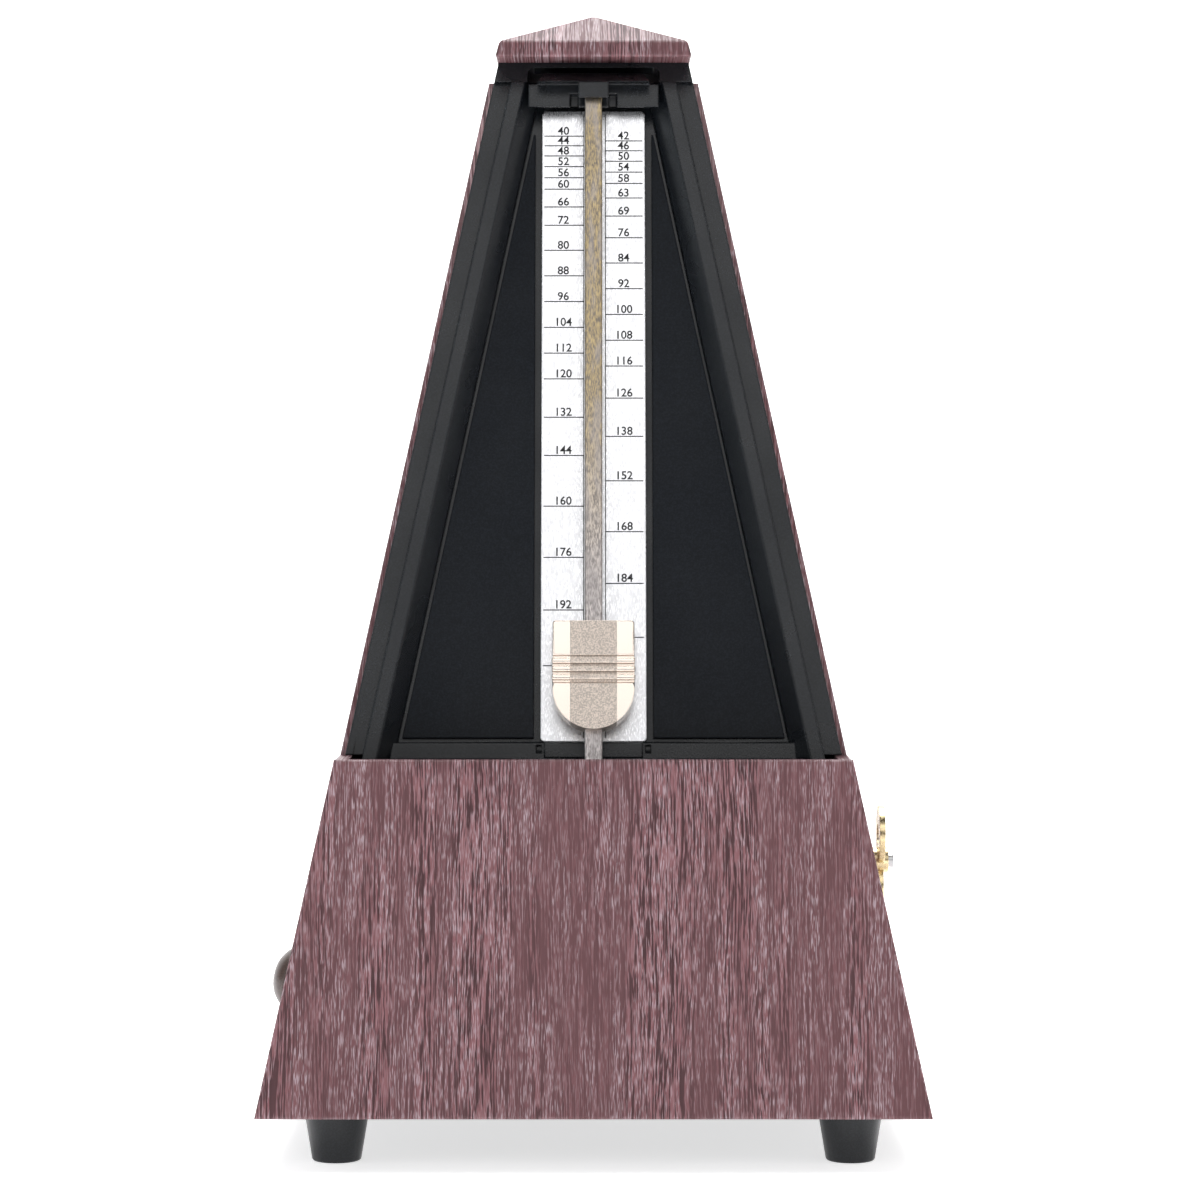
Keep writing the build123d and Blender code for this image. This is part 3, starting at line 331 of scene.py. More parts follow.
def streak_height(tree, place, pitch, length):
    """The moulded streaks' height, 0 in a groove and 1 on a crest, and their broader figure."""
    wander = noise(
        tree, stretched(tree, place, times(tree, pitch, 29.0), times(tree, length, 4.0)), 1.0
    )
    shift = times(tree, wander, times(tree, pitch, 7.0))
    bent = add(tree, "ShaderNodeVectorMath", {
        0: place, 1: add(tree, "ShaderNodeCombineXYZ", {0: shift, 1: shift}).outputs[0],
    }, operation="ADD").outputs[0]
    long_streaks = noise(tree, stretched(tree, bent, pitch, length), 1.0, 0.4)
    short_streaks = noise(
        tree, stretched(tree, bent, times(tree, pitch, 0.62), times(tree, length, 0.30)), 1.0
    )
    figure = noise(tree, stretched(tree, bent, times(tree, pitch, 9.0), times(tree, length, 2.2)))
    raised = calculate(
        tree, "ADD", times(tree, long_streaks, 0.60), times(tree, short_streaks, 0.40)
    )
    figured = times(tree, calculate(tree, "SUBTRACT", figure, 0.5), 0.12)
    raised = calculate(tree, "ADD", raised, figured)
    return ramp(tree, raised, 0.43, 0.54), figure


def grain_group(name):
    """Moulded wood grain: its height, the painted highlight flecks on its crests and its broad tone."""
    tree, given, result = group_tree(
        name,
        [("Place", "NodeSocketVector", (0, 0, 0)), ("Pitch", "NodeSocketFloat", 0.9 * MM),
         ("Length", "NodeSocketFloat", 8 * MM)],
        [("Height", "NodeSocketFloat"), ("Tips", "NodeSocketFloat"), ("Tone", "NodeSocketFloat")],
    )
    place, pitch, length = given.outputs["Place"], given.outputs["Pitch"], given.outputs["Length"]
    height, figure = streak_height(tree, place, pitch, length)
    # Painted highlight: specks on the crests, thinned where the figure is low, stand in for glints of light off
    # the glossy grain.
    specks = noise(
        tree, stretched(tree, place, times(tree, pitch, 0.55), times(tree, length, 0.22)), 1.0
    )
    broad = noise(tree, stretched(tree, place, times(tree, pitch, 26.0), times(tree, length, 16.0)))
    tips = times(tree, ramp(tree, specks, 0.47, 0.62), height)
    tips = times(tree, tips, ramp(tree, figure, 0.36, 0.60, 0.25, 1.0))
    feed(tree, result, {"Height": height, "Tips": tips, "Tone": broad})
    return tree


def speckle_group(name):
    """Fine spark-eroded grain of moulded plastic and frosted metal."""
    tree, given, result = group_tree(
        name,
        [("Place", "NodeSocketVector", (0, 0, 0)), ("Size", "NodeSocketFloat", 0.3 * MM)],
        [("Height", "NodeSocketFloat"), ("Patches", "NodeSocketFloat")],
    )
    place, size = given.outputs["Place"], given.outputs["Size"]
    height = noise(tree, stretched(tree, place, size, size), 3.0, 0.65)
    patch = times(tree, size, 60.0)
    patches = noise(tree, stretched(tree, place, patch, patch), 3.0)
    feed(tree, result, {"Height": height, "Patches": patches})
    return tree


def brushed_group(name):
    """Fine parallel lines left by brushing or drawing, running up the piece."""
    tree, given, result = group_tree(
        name,
        [("Place", "NodeSocketVector", (0, 0, 0)), ("Pitch", "NodeSocketFloat", 0.12 * MM),
         ("Length", "NodeSocketFloat", 60 * MM)],
        [("Lines", "NodeSocketFloat"), ("Bands", "NodeSocketFloat")],
    )
    place, pitch, length = given.outputs["Place"], given.outputs["Pitch"], given.outputs["Length"]
    lines = noise(tree, stretched(tree, place, pitch, length), 3.0, 0.6)
    bands = noise(tree, stretched(tree, place, times(tree, pitch, 9.0), length))
    feed(tree, result, {"Lines": lines, "Bands": bands})
    return tree


def wear_group(name):
    """Edges rubbed by handling: how worn, and the softened normal."""
    tree, given, result = group_tree(
        name,
        [("Place", "NodeSocketVector", (0, 0, 0)), ("Radius", "NodeSocketFloat", 0.4 * MM),
         ("Amount", "NodeSocketFloat", 0.5)],
        [("Wear", "NodeSocketFloat"), ("Normal", "NodeSocketVector")],
    )
    soft = add(tree, "ShaderNodeBevel", {"Radius": given.outputs["Radius"]}, samples=4)
    true = tree.nodes.new("ShaderNodeNewGeometry").outputs["Normal"]
    along = add(
        tree, "ShaderNodeVectorMath", {0: soft.outputs[0], 1: true}, operation="DOT_PRODUCT"
    )
    turned = ramp(tree, along.outputs["Value"], 0.995, 0.90)
    patch = 1.6 * MM
    patchy = noise(tree, stretched(tree, given.outputs["Place"], patch, patch), 3.0)
    worn = times(tree, turned, ramp(tree, patchy, 0.42, 0.62))
    worn = times(tree, worn, given.outputs["Amount"])
    feed(tree, result, {"Wear": worn, "Normal": soft.outputs[0]})
    return tree


GROUPS = {
    "Moulded Grain": grain_group,
    "Fine Speckle": speckle_group,
    "Brushed Lines": brushed_group,
    "Rubbed Edges": wear_group,
}


# ------------------------------------------------------------------ materials
def fresh_material(name):
    """A material with only a Principled BSDF and its output."""
    material = bpy.data.materials.new(name)
    material.use_nodes = True
    tree = material.node_tree
    tree.nodes.clear()
    surface = tree.nodes.new("ShaderNodeBsdfPrincipled")
    output = tree.nodes.new("ShaderNodeOutputMaterial")
    tree.links.new(surface.outputs[0], output.inputs["Surface"])
    return material, tree, surface


def use_group(tree, name, inputs):
    """A shared node group with values of its own, made when it is first used."""
    group = bpy.data.node_groups.get(name) or GROUPS[name](name)
    return add(tree, "ShaderNodeGroup", inputs, node_tree=group)


def mix_colour(tree, share, first, second):
    """One colour shading into another."""
    first, second = (
        value if isinstance(value, bpy.types.NodeSocket) else (*value[:3], 1.0)
        for value in (first, second)
    )
    made = add(tree, "ShaderNodeMix", {0: share, 6: first, 7: second}, data_type="RGBA")
    return made.outputs[2]


def shaded(colour, factor):
    """A colour made darker or paler by a factor."""
    return tuple(factor * value for value in colour)


def bump(tree, height, distance, strength=1.0, normal=None):
    """A normal raised by a height."""
    inputs = {"Height": height, "Distance": distance, "Strength": strength}
    if normal is not None:
        inputs["Normal"] = normal
    return add(tree, "ShaderNodeBump", inputs).outputs[0]


def wood_material(name, raised):
    """Red-brown moulded wood grain, with its relief in the bump where the mesh doesn't carry it."""
    wood = bpy.context.scene.metronome_wood
    material, tree, surface = fresh_material(name)
    place = object_place(tree)
    grain = use_group(tree, "Moulded Grain", {
        "Place": wall_place(tree), "Pitch": wood.pitch, "Length": wood.length,
    })
    wear = use_group(tree, "Rubbed Edges", {"Place": place, "Radius": 0.5 * MM, "Amount": 0.55})
    height = grain.outputs["Height"]
    colour = mix_colour(tree, height, wood.groove_colour, wood.crest_colour)
    dim = ramp(tree, grain.outputs["Tone"], 0.60, 0.42, 0.0, 0.75)
    colour = mix_colour(tree, dim, colour, shaded(wood.crest_colour, 0.62))
    # Painted highlight flecks on the crests. The rubbed edges on the next line take the same pale colour.
    highlight_flecks = times(tree, grain.outputs["Tips"], 0.68)
    colour = mix_colour(tree, highlight_flecks, colour, wood.fleck_colour)
    colour = mix_colour(tree, wear.outputs["Wear"], colour, wood.fleck_colour)
    speckle = use_group(tree, "Fine Speckle", {"Place": place, "Size": 0.22 * MM})
    normal = bump(tree, height, raised, 1.0, wear.outputs["Normal"])
    normal = bump(tree, speckle.outputs["Height"], 0.02 * MM, 0.5, normal)
    feed(tree, surface, {
        "Base Color": colour, "Roughness": ramp(tree, height, 0.0, 1.0, 0.62, 0.36),
        "Specular IOR Level": 0.45, "Normal": normal,
    })
    return material


def plastic_material(name, colour, size, relief, rough, shine, worn=0.35):
    """Moulded plastic with a fine eroded surface."""
    material, tree, surface = fresh_material(name)
    place = object_place(tree)
    speckle = use_group(tree, "Fine Speckle", {"Place": place, "Size": size})
    wear = use_group(tree, "Rubbed Edges", {"Place": place, "Radius": 0.3 * MM, "Amount": worn})
    paler = tuple(min(1.0, 1.7 * value + 0.002) for value in colour)
    shade = mix_colour(tree, ramp(tree, speckle.outputs["Height"], 0.40, 0.66), colour, paler)
    rubbed = tuple(min(1.0, 3.0 * value + 0.025) for value in colour)
    shade = mix_colour(tree, wear.outputs["Wear"], shade, rubbed)
    patchy = ramp(tree, speckle.outputs["Patches"], 0.3, 0.7, rough - 0.06, rough + 0.06)
    normal = bump(tree, speckle.outputs["Height"], relief, 1.0, wear.outputs["Normal"])
    feed(tree, surface, {
        "Base Color": shade, "Roughness": patchy, "Specular IOR Level": shine, "Normal": normal,
    })
    return material


def brushed_material(name, top, bottom, pitch, length, rough, contrast, relief, low=0.0, high=1.0):
    """Brushed metal whose colour may change from its lower end to its upper end."""
    material, tree, surface = fresh_material(name)
    place = object_place(tree)
    brushed = use_group(tree, "Brushed Lines", {"Place": place, "Pitch": pitch, "Length": length})
    wear = use_group(tree, "Rubbed Edges", {"Place": place, "Radius": 0.25 * MM, "Amount": 0.2})
    height = add(tree, "ShaderNodeSeparateXYZ", {0: place}).outputs["Z"]
    colour = mix_colour(tree, ramp(tree, height, low, high), bottom, top)
    lines = brushed.outputs["Lines"]
    in_lines = ramp(tree, lines, 0.36, 0.64, contrast, 0.0)
    colour = mix_colour(tree, in_lines, colour, shaded(bottom, 0.28))
    in_bands = ramp(tree, brushed.outputs["Bands"], 0.58, 0.40, 0.0, contrast * 0.7)
    feed(tree, surface, {
        "Base Color": mix_colour(tree, in_bands, colour, shaded(bottom, 0.55)),
        "Roughness": ramp(tree, lines, 0.3, 0.7, rough + 0.10, rough - 0.06),
        "Normal": bump(tree, lines, relief, 0.8, wear.outputs["Normal"]),
        "Metallic": 1.0,
    })
    return material


def metal_material(name, colour, rough, size=0.5 * MM, relief=0.006 * MM, tarnish=0.25):
    """Turned or stamped metal with a soft, slightly tarnished surface."""
    material, tree, surface = fresh_material(name)
    place = object_place(tree)
    speckle = use_group(tree, "Fine Speckle", {"Place": place, "Size": size})
    wear = use_group(tree, "Rubbed Edges", {"Place": place, "Radius": 0.2 * MM, "Amount": 0.3})
    grains = speckle.outputs["Height"]
    dulled = ramp(tree, speckle.outputs["Patches"], 0.42, 0.68, 0.0, tarnish)
    feed(tree, surface, {
        "Base Color": mix_colour(tree, dulled, colour, shaded(colour, 0.62)),
        "Roughness": ramp(tree, grains, 0.3, 0.7, rough - 0.05, rough + 0.08),
        "Normal": bump(tree, grains, relief, 0.6, wear.outputs["Normal"]),
        "Metallic": 1.0,
    })
    return material


def weight_material(name, frosted_half):
    """Champagne plating, frosted up the middle and polished at the sides."""
    colour = bpy.context.scene.metronome_metal.weight_colour
    material, tree, surface = fresh_material(name)
    place = object_place(tree)
    speckle = use_group(tree, "Fine Speckle", {"Place": place, "Size": 0.26 * MM})
    wear = use_group(tree, "Rubbed Edges", {"Place": place, "Radius": 0.2 * MM, "Amount": 0.3})
    across = add(tree, "ShaderNodeSeparateXYZ", {0: place}).outputs["X"]
    border = 0.05 * MM
    middle = ramp(
        tree, calculate(tree, "ABSOLUTE", across), frosted_half + border, frosted_half - border
    )
    dotted = times(tree, ramp(tree, speckle.outputs["Height"], 0.56, 0.44), middle)
    frosted = mix_colour(tree, middle, colour, shaded(colour, 0.97))
    height = times(tree, speckle.outputs["Height"], middle)
    feed(tree, surface, {
        "Base Color": mix_colour(tree, times(tree, dotted, 0.7), frosted, shaded(colour, 0.48)),
        "Roughness": ramp(tree, middle, 0.0, 1.0, 0.22, 0.46),
        "Normal": bump(tree, height, 0.05 * MM, 0.9, wear.outputs["Normal"]),
        "Metallic": 1.0,
    })
    return material


def ink_material(name):
    """Printed black ink, a little uneven."""
    material, tree, surface = fresh_material(name)
    place = object_place(tree)
    speckle = use_group(tree, "Fine Speckle", {"Place": place, "Size": 0.12 * MM})
    colour = bpy.context.scene.metronome_scale.ink_colour
    thin = tuple(value + 0.02 for value in colour)
    shade = mix_colour(tree, ramp(tree, speckle.outputs["Height"], 0.55, 0.72), colour, thin)
    feed(tree, surface, {"Base Color": shade, "Roughness": 0.6})
    return material


def finish_for(kind):
    """A finish: a slot of the record, the embossed wood, the knob's brown or the ink."""
    metal = bpy.context.scene.metronome_metal
    plastic = bpy.context.scene.metronome_plastic
    steel = (0.60, 0.60, 0.61)
    iron = (0.10, 0.10, 0.105)
    plate, warm, cool = metal.plate_colour, metal.rod_warm_colour, metal.rod_cool_colour
    name = f"finish_{kind}"
    makers = {
        "wood_grain": lambda: wood_material(name, 0.10 * MM),
        "wood_embossed": lambda: wood_material(name, 0.045 * MM),
        "black_plastic": lambda: plastic_material(
            name, plastic.trim_colour, 0.30 * MM, 0.018 * MM, 0.30, 0.40
        ),
        "panel_black": lambda: plastic_material(
            name, plastic.panel_colour, 0.34 * MM, 0.035 * MM, 0.55, 0.22, 0.15
        ),
        "knob_brown": lambda: plastic_material(
            name, plastic.knob_colour, 0.35 * MM, 0.01 * MM, 0.30, 0.5
        ),
        "scale_metal": lambda: brushed_material(
            name, plate, plate, 0.16 * MM, 40 * MM, 0.30, 0.16, 0.004 * MM
        ),
        "rod_steel": lambda: brushed_material(
            name, warm, cool, 0.20 * MM, 45 * MM, 0.34, 0.80, 0.012 * MM, 0.088, 0.140
        ),
        "steel": lambda: metal_material(name, steel, 0.30),
        "iron": lambda: metal_material(name, iron, 0.62, 0.7 * MM, 0.08 * MM, 0.5),
        "weight_nickel": lambda: weight_material(name, 4.05 * MM),
        "brass": lambda: metal_material(name, metal.brass_colour, 0.24),
        "ink": lambda: ink_material(name),
    }
    return bpy.data.materials.get(name) or makers[kind]()


# ------------------------------------------------------------------ mesh helpers
def evaluated(mesh, kind, settings):
    """A mesh after one modifier, as a plain mesh."""
    holder = bpy.data.objects.new("holder", mesh)
    bpy.context.scene.collection.objects.link(holder)
    modifier = holder.modifiers.new("step", kind)
    for name, value in settings.items():
        if kind == "NODES" and name != "node_group":
            modifier[name] = value
        else:
            setattr(modifier, name, value)
    depsgraph = bpy.context.evaluated_depsgraph_get()
    depsgraph.update()
    made = bpy.data.meshes.new_from_object(holder.evaluated_get(depsgraph), depsgraph=depsgraph)
    bpy.data.objects.remove(holder)
    return made


def riding(name, mesh, material, body):
    """A piece with one material that rides a body."""
    mesh.materials.clear()
    mesh.materials.append(material)
    piece = bpy.data.objects.new(name, mesh)
    bpy.context.scene.collection.objects.link(piece)
    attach(piece, body)
    return piece


def finished(name, mesh, material, node):
    """A piece that stands for a CAD piece and rides with it; its broad faces shade flat."""
    mesh.shade_smooth()
    mesh.set_sharp_from_angle(angle=SMOOTH)
    weights = {"mode": "FACE_AREA", "weight": 50, "keep_sharp": True}
    mesh = evaluated(mesh, "WEIGHTED_NORMAL", weights)
    mesh.name = name
    piece = riding(name, mesh, material, BODIES[node])
    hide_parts(node)


def mesh_from(work, name):
    """A mesh from a bmesh, its faces turned outwards."""
    bmesh.ops.recalc_face_normals(work, faces=work.faces)
    mesh = bpy.data.meshes.new(name)
    work.to_mesh(mesh)
    work.free()
    return mesh


def round_edges(work, edges, radius, segments=3):
    """Rounds some edges of a bmesh."""
    bmesh.ops.bevel(
        work, geom=edges, offset=radius, segments=segments, profile=0.5,
        affect="EDGES", clamp_overlap=True,
    )


def rounded_copy(node, name, radius, shortest, segments=3):
    """A CAD piece's mesh, merged, with its sharp edges over a length rounded."""
    work = bmesh.new()
    work.from_mesh(frame["nodes"][node].data)
    bmesh.ops.remove_doubles(work, verts=work.verts, dist=MERGE)
    bmesh.ops.dissolve_limit(work, angle_limit=FLAT, verts=work.verts, edges=work.edges)
    sharp = [
        edge for edge in work.edges
        if edge.is_manifold and edge.calc_face_angle() > SMOOTH and edge.calc_length() > shortest
    ]
    round_edges(work, sharp, radius, segments)
    return mesh_from(work, name)


def prism(work, outline, back, front, radius=0.0):
    """A flat piece from its outline, with the rim of its front rounded."""
    low = [work.verts.new((x, y, back)) for x, y in outline]
    high = [work.verts.new((x, y, front)) for x, y in outline]
    count = len(outline)
    work.faces.new(list(reversed(low)))
    work.faces.new(high)
    for i in range(count):
        j = (i + 1) % count
        work.faces.new((low[i], low[j], high[j], high[i]))
    if radius:
        rim = [work.edges.get((high[i], high[(i + 1) % count])) for i in range(count)]
        round_edges(work, rim, radius)


def arc(centre, radius, start, end, steps):
    """Points along an arc, its angles in degrees."""
    return [
        (
            centre[0] + radius * math.cos(math.radians(start + (end - start) * i / steps)),
            centre[1] + radius * math.sin(math.radians(start + (end - start) * i / steps)),
        )
        for i in range(steps + 1)
    ]


def rounded_rectangle(low, high, radius, steps=4):
    """Outline of a rectangle with round corners."""
    corners = (
        ((high[0] - radius, low[1] + radius), -90),
        ((high[0] - radius, high[1] - radius), 0),
        ((low[0] + radius, high[1] - radius), 90),
        ((low[0] + radius, low[1] + radius), 180),
    )
    return [
        point
        for centre, start in corners
        for point in arc(centre, radius, start, start + 90, steps)
    ]


def through_nodes(mesh, tree, inputs):
    """A mesh after a Geometry Nodes tree, as a plain mesh."""
    sockets = {
        item.name: item.identifier
        for item in tree.interface.items_tree
        if item.item_type == "SOCKET" and item.in_out == "INPUT"
    }
    values = {sockets[name]: value for name, value in inputs.items()}
    return evaluated(mesh, "NODES", {"node_group": tree, **values})


def geometry_tree(name, inputs):
    """A Geometry Nodes tree with its named inputs."""
    tree = bpy.data.node_groups.new(name, "GeometryNodeTree")
    tree.interface.new_socket("Geometry", in_out="INPUT", socket_type="NodeSocketGeometry")
    for socket, kind in inputs:
        tree.interface.new_socket(socket, in_out="INPUT", socket_type=kind)
    tree.interface.new_socket("Geometry", in_out="OUTPUT", socket_type="NodeSocketGeometry")
    return tree, tree.nodes.new("NodeGroupInput"), tree.nodes.new("NodeGroupOutput")


def end_tree(tree, given, result, geometry):
    """Realizes the instances, sets the material and ends the tree."""
    real = add(tree, "GeometryNodeRealizeInstances", {0: geometry})
    coloured = add(tree, "GeometryNodeSetMaterial", {
        "Geometry": real.outputs[0], "Material": given.outputs["Material"],
    })
    tree.links.new(coloured.outputs[0], result.inputs[0])


def emboss_tree():
    """Sinks the grooves of the wood grain into a board, where its attribute allows."""
    tree, given, result = geometry_tree("Emboss Grain", [
        ("Pitch", "NodeSocketFloat"), ("Length", "NodeSocketFloat"), ("Depth", "NodeSocketFloat"),
        ("Inwards", "NodeSocketVector"), ("Material", "NodeSocketMaterial"),
    ])
    point = add(tree, "ShaderNodeSeparateXYZ", {
        0: tree.nodes.new("GeometryNodeInputPosition").outputs[0],
    })
    place = add(tree, "ShaderNodeCombineXYZ", {
        0: point.outputs["X"], 2: point.outputs["Z"],
    }).outputs[0]
    height, _ = streak_height(tree, place, given.outputs["Pitch"], given.outputs["Length"])
    below_crest = calculate(tree, "SUBTRACT", 1.0, height)
    sunk = times(tree, below_crest, given.outputs["Depth"])
    share = add(tree, "GeometryNodeInputNamedAttribute", {"Name": "emboss"}, data_type="FLOAT")
    sunk = times(tree, sunk, share.outputs["Attribute"])
    offset = add(tree, "ShaderNodeVectorMath", {
        0: given.outputs["Inwards"], "Scale": sunk,
    }, operation="SCALE")
    moved = add(tree, "GeometryNodeSetPosition", {
        "Geometry": given.outputs["Geometry"], "Offset": offset.outputs[0],
    })
    end_tree(tree, given, result, moved.outputs[0])
    return tree


def mark_tree():
    """Lays a printed line at every point."""
    tree, given, result = geometry_tree("Printed Lines", [
        ("Length", "NodeSocketFloat"), ("Width", "NodeSocketFloat"), ("Height", "NodeSocketFloat"),
        ("Material", "NodeSocketMaterial"),
    ])
    size = add(tree, "ShaderNodeCombineXYZ", {
        0: given.outputs["Length"], 1: given.outputs["Width"], 2: given.outputs["Height"],
    })
    line = add(tree, "GeometryNodeMeshCube", {"Size": size.outputs[0]})
    points = add(tree, "GeometryNodeMeshToPoints", {"Mesh": given.outputs["Geometry"]})
    laid = add(tree, "GeometryNodeInstanceOnPoints", {
        "Points": points.outputs[0], "Instance": line.outputs["Mesh"],
    })
    end_tree(tree, given, result, laid.outputs[0])
    return tree


def row_tree():
    """Repeats a mesh in a row."""
    tree, given, result = geometry_tree("Row", [
        ("Count", "NodeSocketInt"), ("Step", "NodeSocketVector"), ("Material", "NodeSocketMaterial"),
    ])
    line = add(tree, "GeometryNodeMeshLine", {
        "Count": given.outputs["Count"], "Offset": given.outputs["Step"],
    }, mode="OFFSET")
    laid = add(tree, "GeometryNodeInstanceOnPoints", {
        "Points": line.outputs[0], "Instance": given.outputs["Geometry"],
    })
    end_tree(tree, given, result, laid.outputs[0])
    return tree


# ------------------------------------------------------------------ the lower front board
def even_steps(length, pitch, corner):
    """Distances along a board's side: close together round each corner, then even."""
    round_off = [corner * share for share in (0.0, 0.12, 0.35, 0.65, 1.0)]
    count = max(2, round((length - 2 * corner) / pitch))
    middle = [corner + (length - 2 * corner) * i / count for i in range(1, count)]
    return round_off + middle + [length - value for value in reversed(round_off)]


def board_mesh(node, pitch_across, pitch_up, corner):
    """A board that leans with the front, with a fine grid over its face."""
    low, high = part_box(node)
    height = high.z - low.z
    thickness = high.y - low.y - SLOPE * height
    across = even_steps(2 * high.x, pitch_across, corner)
    upward = even_steps(height, pitch_up, corner)
    work = bmesh.new()
    emboss = work.verts.layers.float.new("emboss")

    def corner_point(share, rise, setback):
        half = high.x - SLOPE * rise
        return (share * half, low.y + SLOPE * rise + setback, low.z + rise)

    face = []
    for rise in upward:
        half = high.x - SLOPE * rise
        row = []
        for distance in across:
            share = distance / high.x - 1
            edge = min(half * (1 - abs(share)), rise, height - rise)
            inside = min(edge, corner)
            setback = corner - math.sqrt(max(0.0, corner**2 - (corner - inside) ** 2))
            point = work.verts.new(corner_point(share, rise, setback))
            point[emboss] = max(0.0, min(1.0, (edge - corner) / corner))
            row.append(point)
        face.append(row)
    for lower, upper in zip(face, face[1:]):
        for i in range(len(lower) - 1):
            work.faces.new((lower[i], lower[i + 1], upper[i + 1], upper[i]))
    rim = face[0] + [row[-1] for row in face[1:]]
    rim += face[-1][-2::-1] + [row[0] for row in face[-2:0:-1]]
    behind = [
        work.verts.new((
            point.co.x,
            low.y + SLOPE * (point.co.z - low.z) + thickness,
            point.co.z,
        ))
        for point in rim
    ]
    for i in range(len(rim)):
        j = (i + 1) % len(rim)
        work.faces.new((rim[j], rim[i], behind[i], behind[j]))
    work.faces.new(behind)
    return mesh_from(work, "front_board")


class METRONOME_OT_front_board(bpy.types.Operator):
    """Build the lower front board, its wood grain sunk into the mesh"""

    bl_idname = "metronome.front_board"
    bl_label = "Front Board"

    def execute(self, context):
        wood = context.scene.metronome_wood
        pitch_across = 0.20 * MM
        pitch_up = 1.05 * MM
        mesh = board_mesh("front_panel", pitch_across, pitch_up, wood.edge_radius)
        material = finish_for("wood_embossed")
        mesh = through_nodes(mesh, emboss_tree(), {
            "Pitch": wood.pitch, "Length": wood.length, "Depth": wood.depth,
            "Inwards": tuple(-OUT), "Material": material,
        })
        finished("front_board", mesh, material, "front_panel")
        return {"FINISHED"}


class METRONOME_OT_casing(bpy.types.Operator):
    """Build the wood-grained casing and the cap with rounded edges"""

    bl_idname = "metronome.casing"
    bl_label = "Casing and Cap"

    def execute(self, context):
        radius = context.scene.metronome_wood.edge_radius
        material = finish_for("wood_grain")
        for node, name, shortest, segments in (
            ("casing", "casing_shell", 30 * MM, 3),
            ("cap", "cap_block", 2 * MM, 4),
        ):
            mesh = rounded_copy(node, name, radius, shortest, segments)
            finished(name, mesh, material, node)
        return {"FINISHED"}


class METRONOME_OT_black_trim(bpy.types.Operator):
    """Build the black frame, neck, rod catch, ledge and the scale's foot"""

    bl_idname = "metronome.black_trim"
    bl_label = "Black Trim"

    def execute(self, context):
        radius = context.scene.metronome_plastic.edge_radius
        material = finish_for("black_plastic")
        for node, name, shortest in (
            ("front_frame", "frame_moulding", 4 * MM),
            ("neck", "neck_moulding", 1 * MM),
            ("rod_catch", "catch_moulding", 1 * MM),
            ("ledge", "ledge_moulding", 1 * MM),
            ("scale_foot", "foot_strip", 1 * MM),
        ):
            finished(name, rounded_copy(node, name, radius, shortest), material, node)
        return {"FINISHED"}


class METRONOME_OT_inset_panels(bpy.types.Operator):
    """Build the two blue-black inset panels with softened rims"""

    bl_idname = "metronome.inset_panels"
    bl_label = "Inset Panels"

    def execute(self, context):
        material = finish_for("panel_black")
        for side in ("left", "right"):
            node = f"{side}_inset_panel"
            name = f"{side}_panel_sheet"
            finished(name, rounded_copy(node, name, 0.25 * MM, 0.2 * MM), material, node)
        return {"FINISHED"}


# ------------------------------------------------------------------ the tempo scale
def tempo_height(tempo):
    """Distance up the rod from the pivot at which the weight gives a tempo, in metres.

    The beats a minute of a rod with a fixed counterweight below its pivot and a weight
    sliding above it: tempo squared is strength x (balance - u) / (inertia + u squared).
    """
    strength = 4.2336e6     # in millimetres
    balance = 135.868
    inertia = 9670.0
    square = tempo**2
    root = math.sqrt(strength**2 - 4 * square * (square * inertia - strength * balance))
    return (root - strength) / (2 * square) * MM


def loose_points(points):
    """A mesh of loose points, one for each line to be printed."""
    mesh = bpy.data.meshes.new("line_places")
    mesh.from_pydata(points, [], [])
    return mesh


def number_mesh(text, size, place, height):
    """One printed number, as a thin mesh."""
    curve = bpy.data.curves.new("number", "FONT")
    curve.body = text
    curve.size = size
    curve.align_x = "CENTER"
    curve.extrude = height / 2
    curve.offset = 0.035 * MM
    curve.resolution_u = 4
    holder = bpy.data.objects.new("number", curve)
    bpy.context.scene.collection.objects.link(holder)
    depsgraph = bpy.context.evaluated_depsgraph_get()
    mesh = bpy.data.meshes.new_from_object(holder.evaluated_get(depsgraph), depsgraph=depsgraph)
    mesh.transform(Matrix.Translation(place))
    bpy.data.objects.remove(holder)
    return mesh


def joined(meshes, name):
    """Several meshes as one."""
    work = bmesh.new()
    for mesh in meshes:
        work.from_mesh(mesh)
    mesh = bpy.data.meshes.new(name)
    work.to_mesh(mesh)
    work.free()
    return mesh


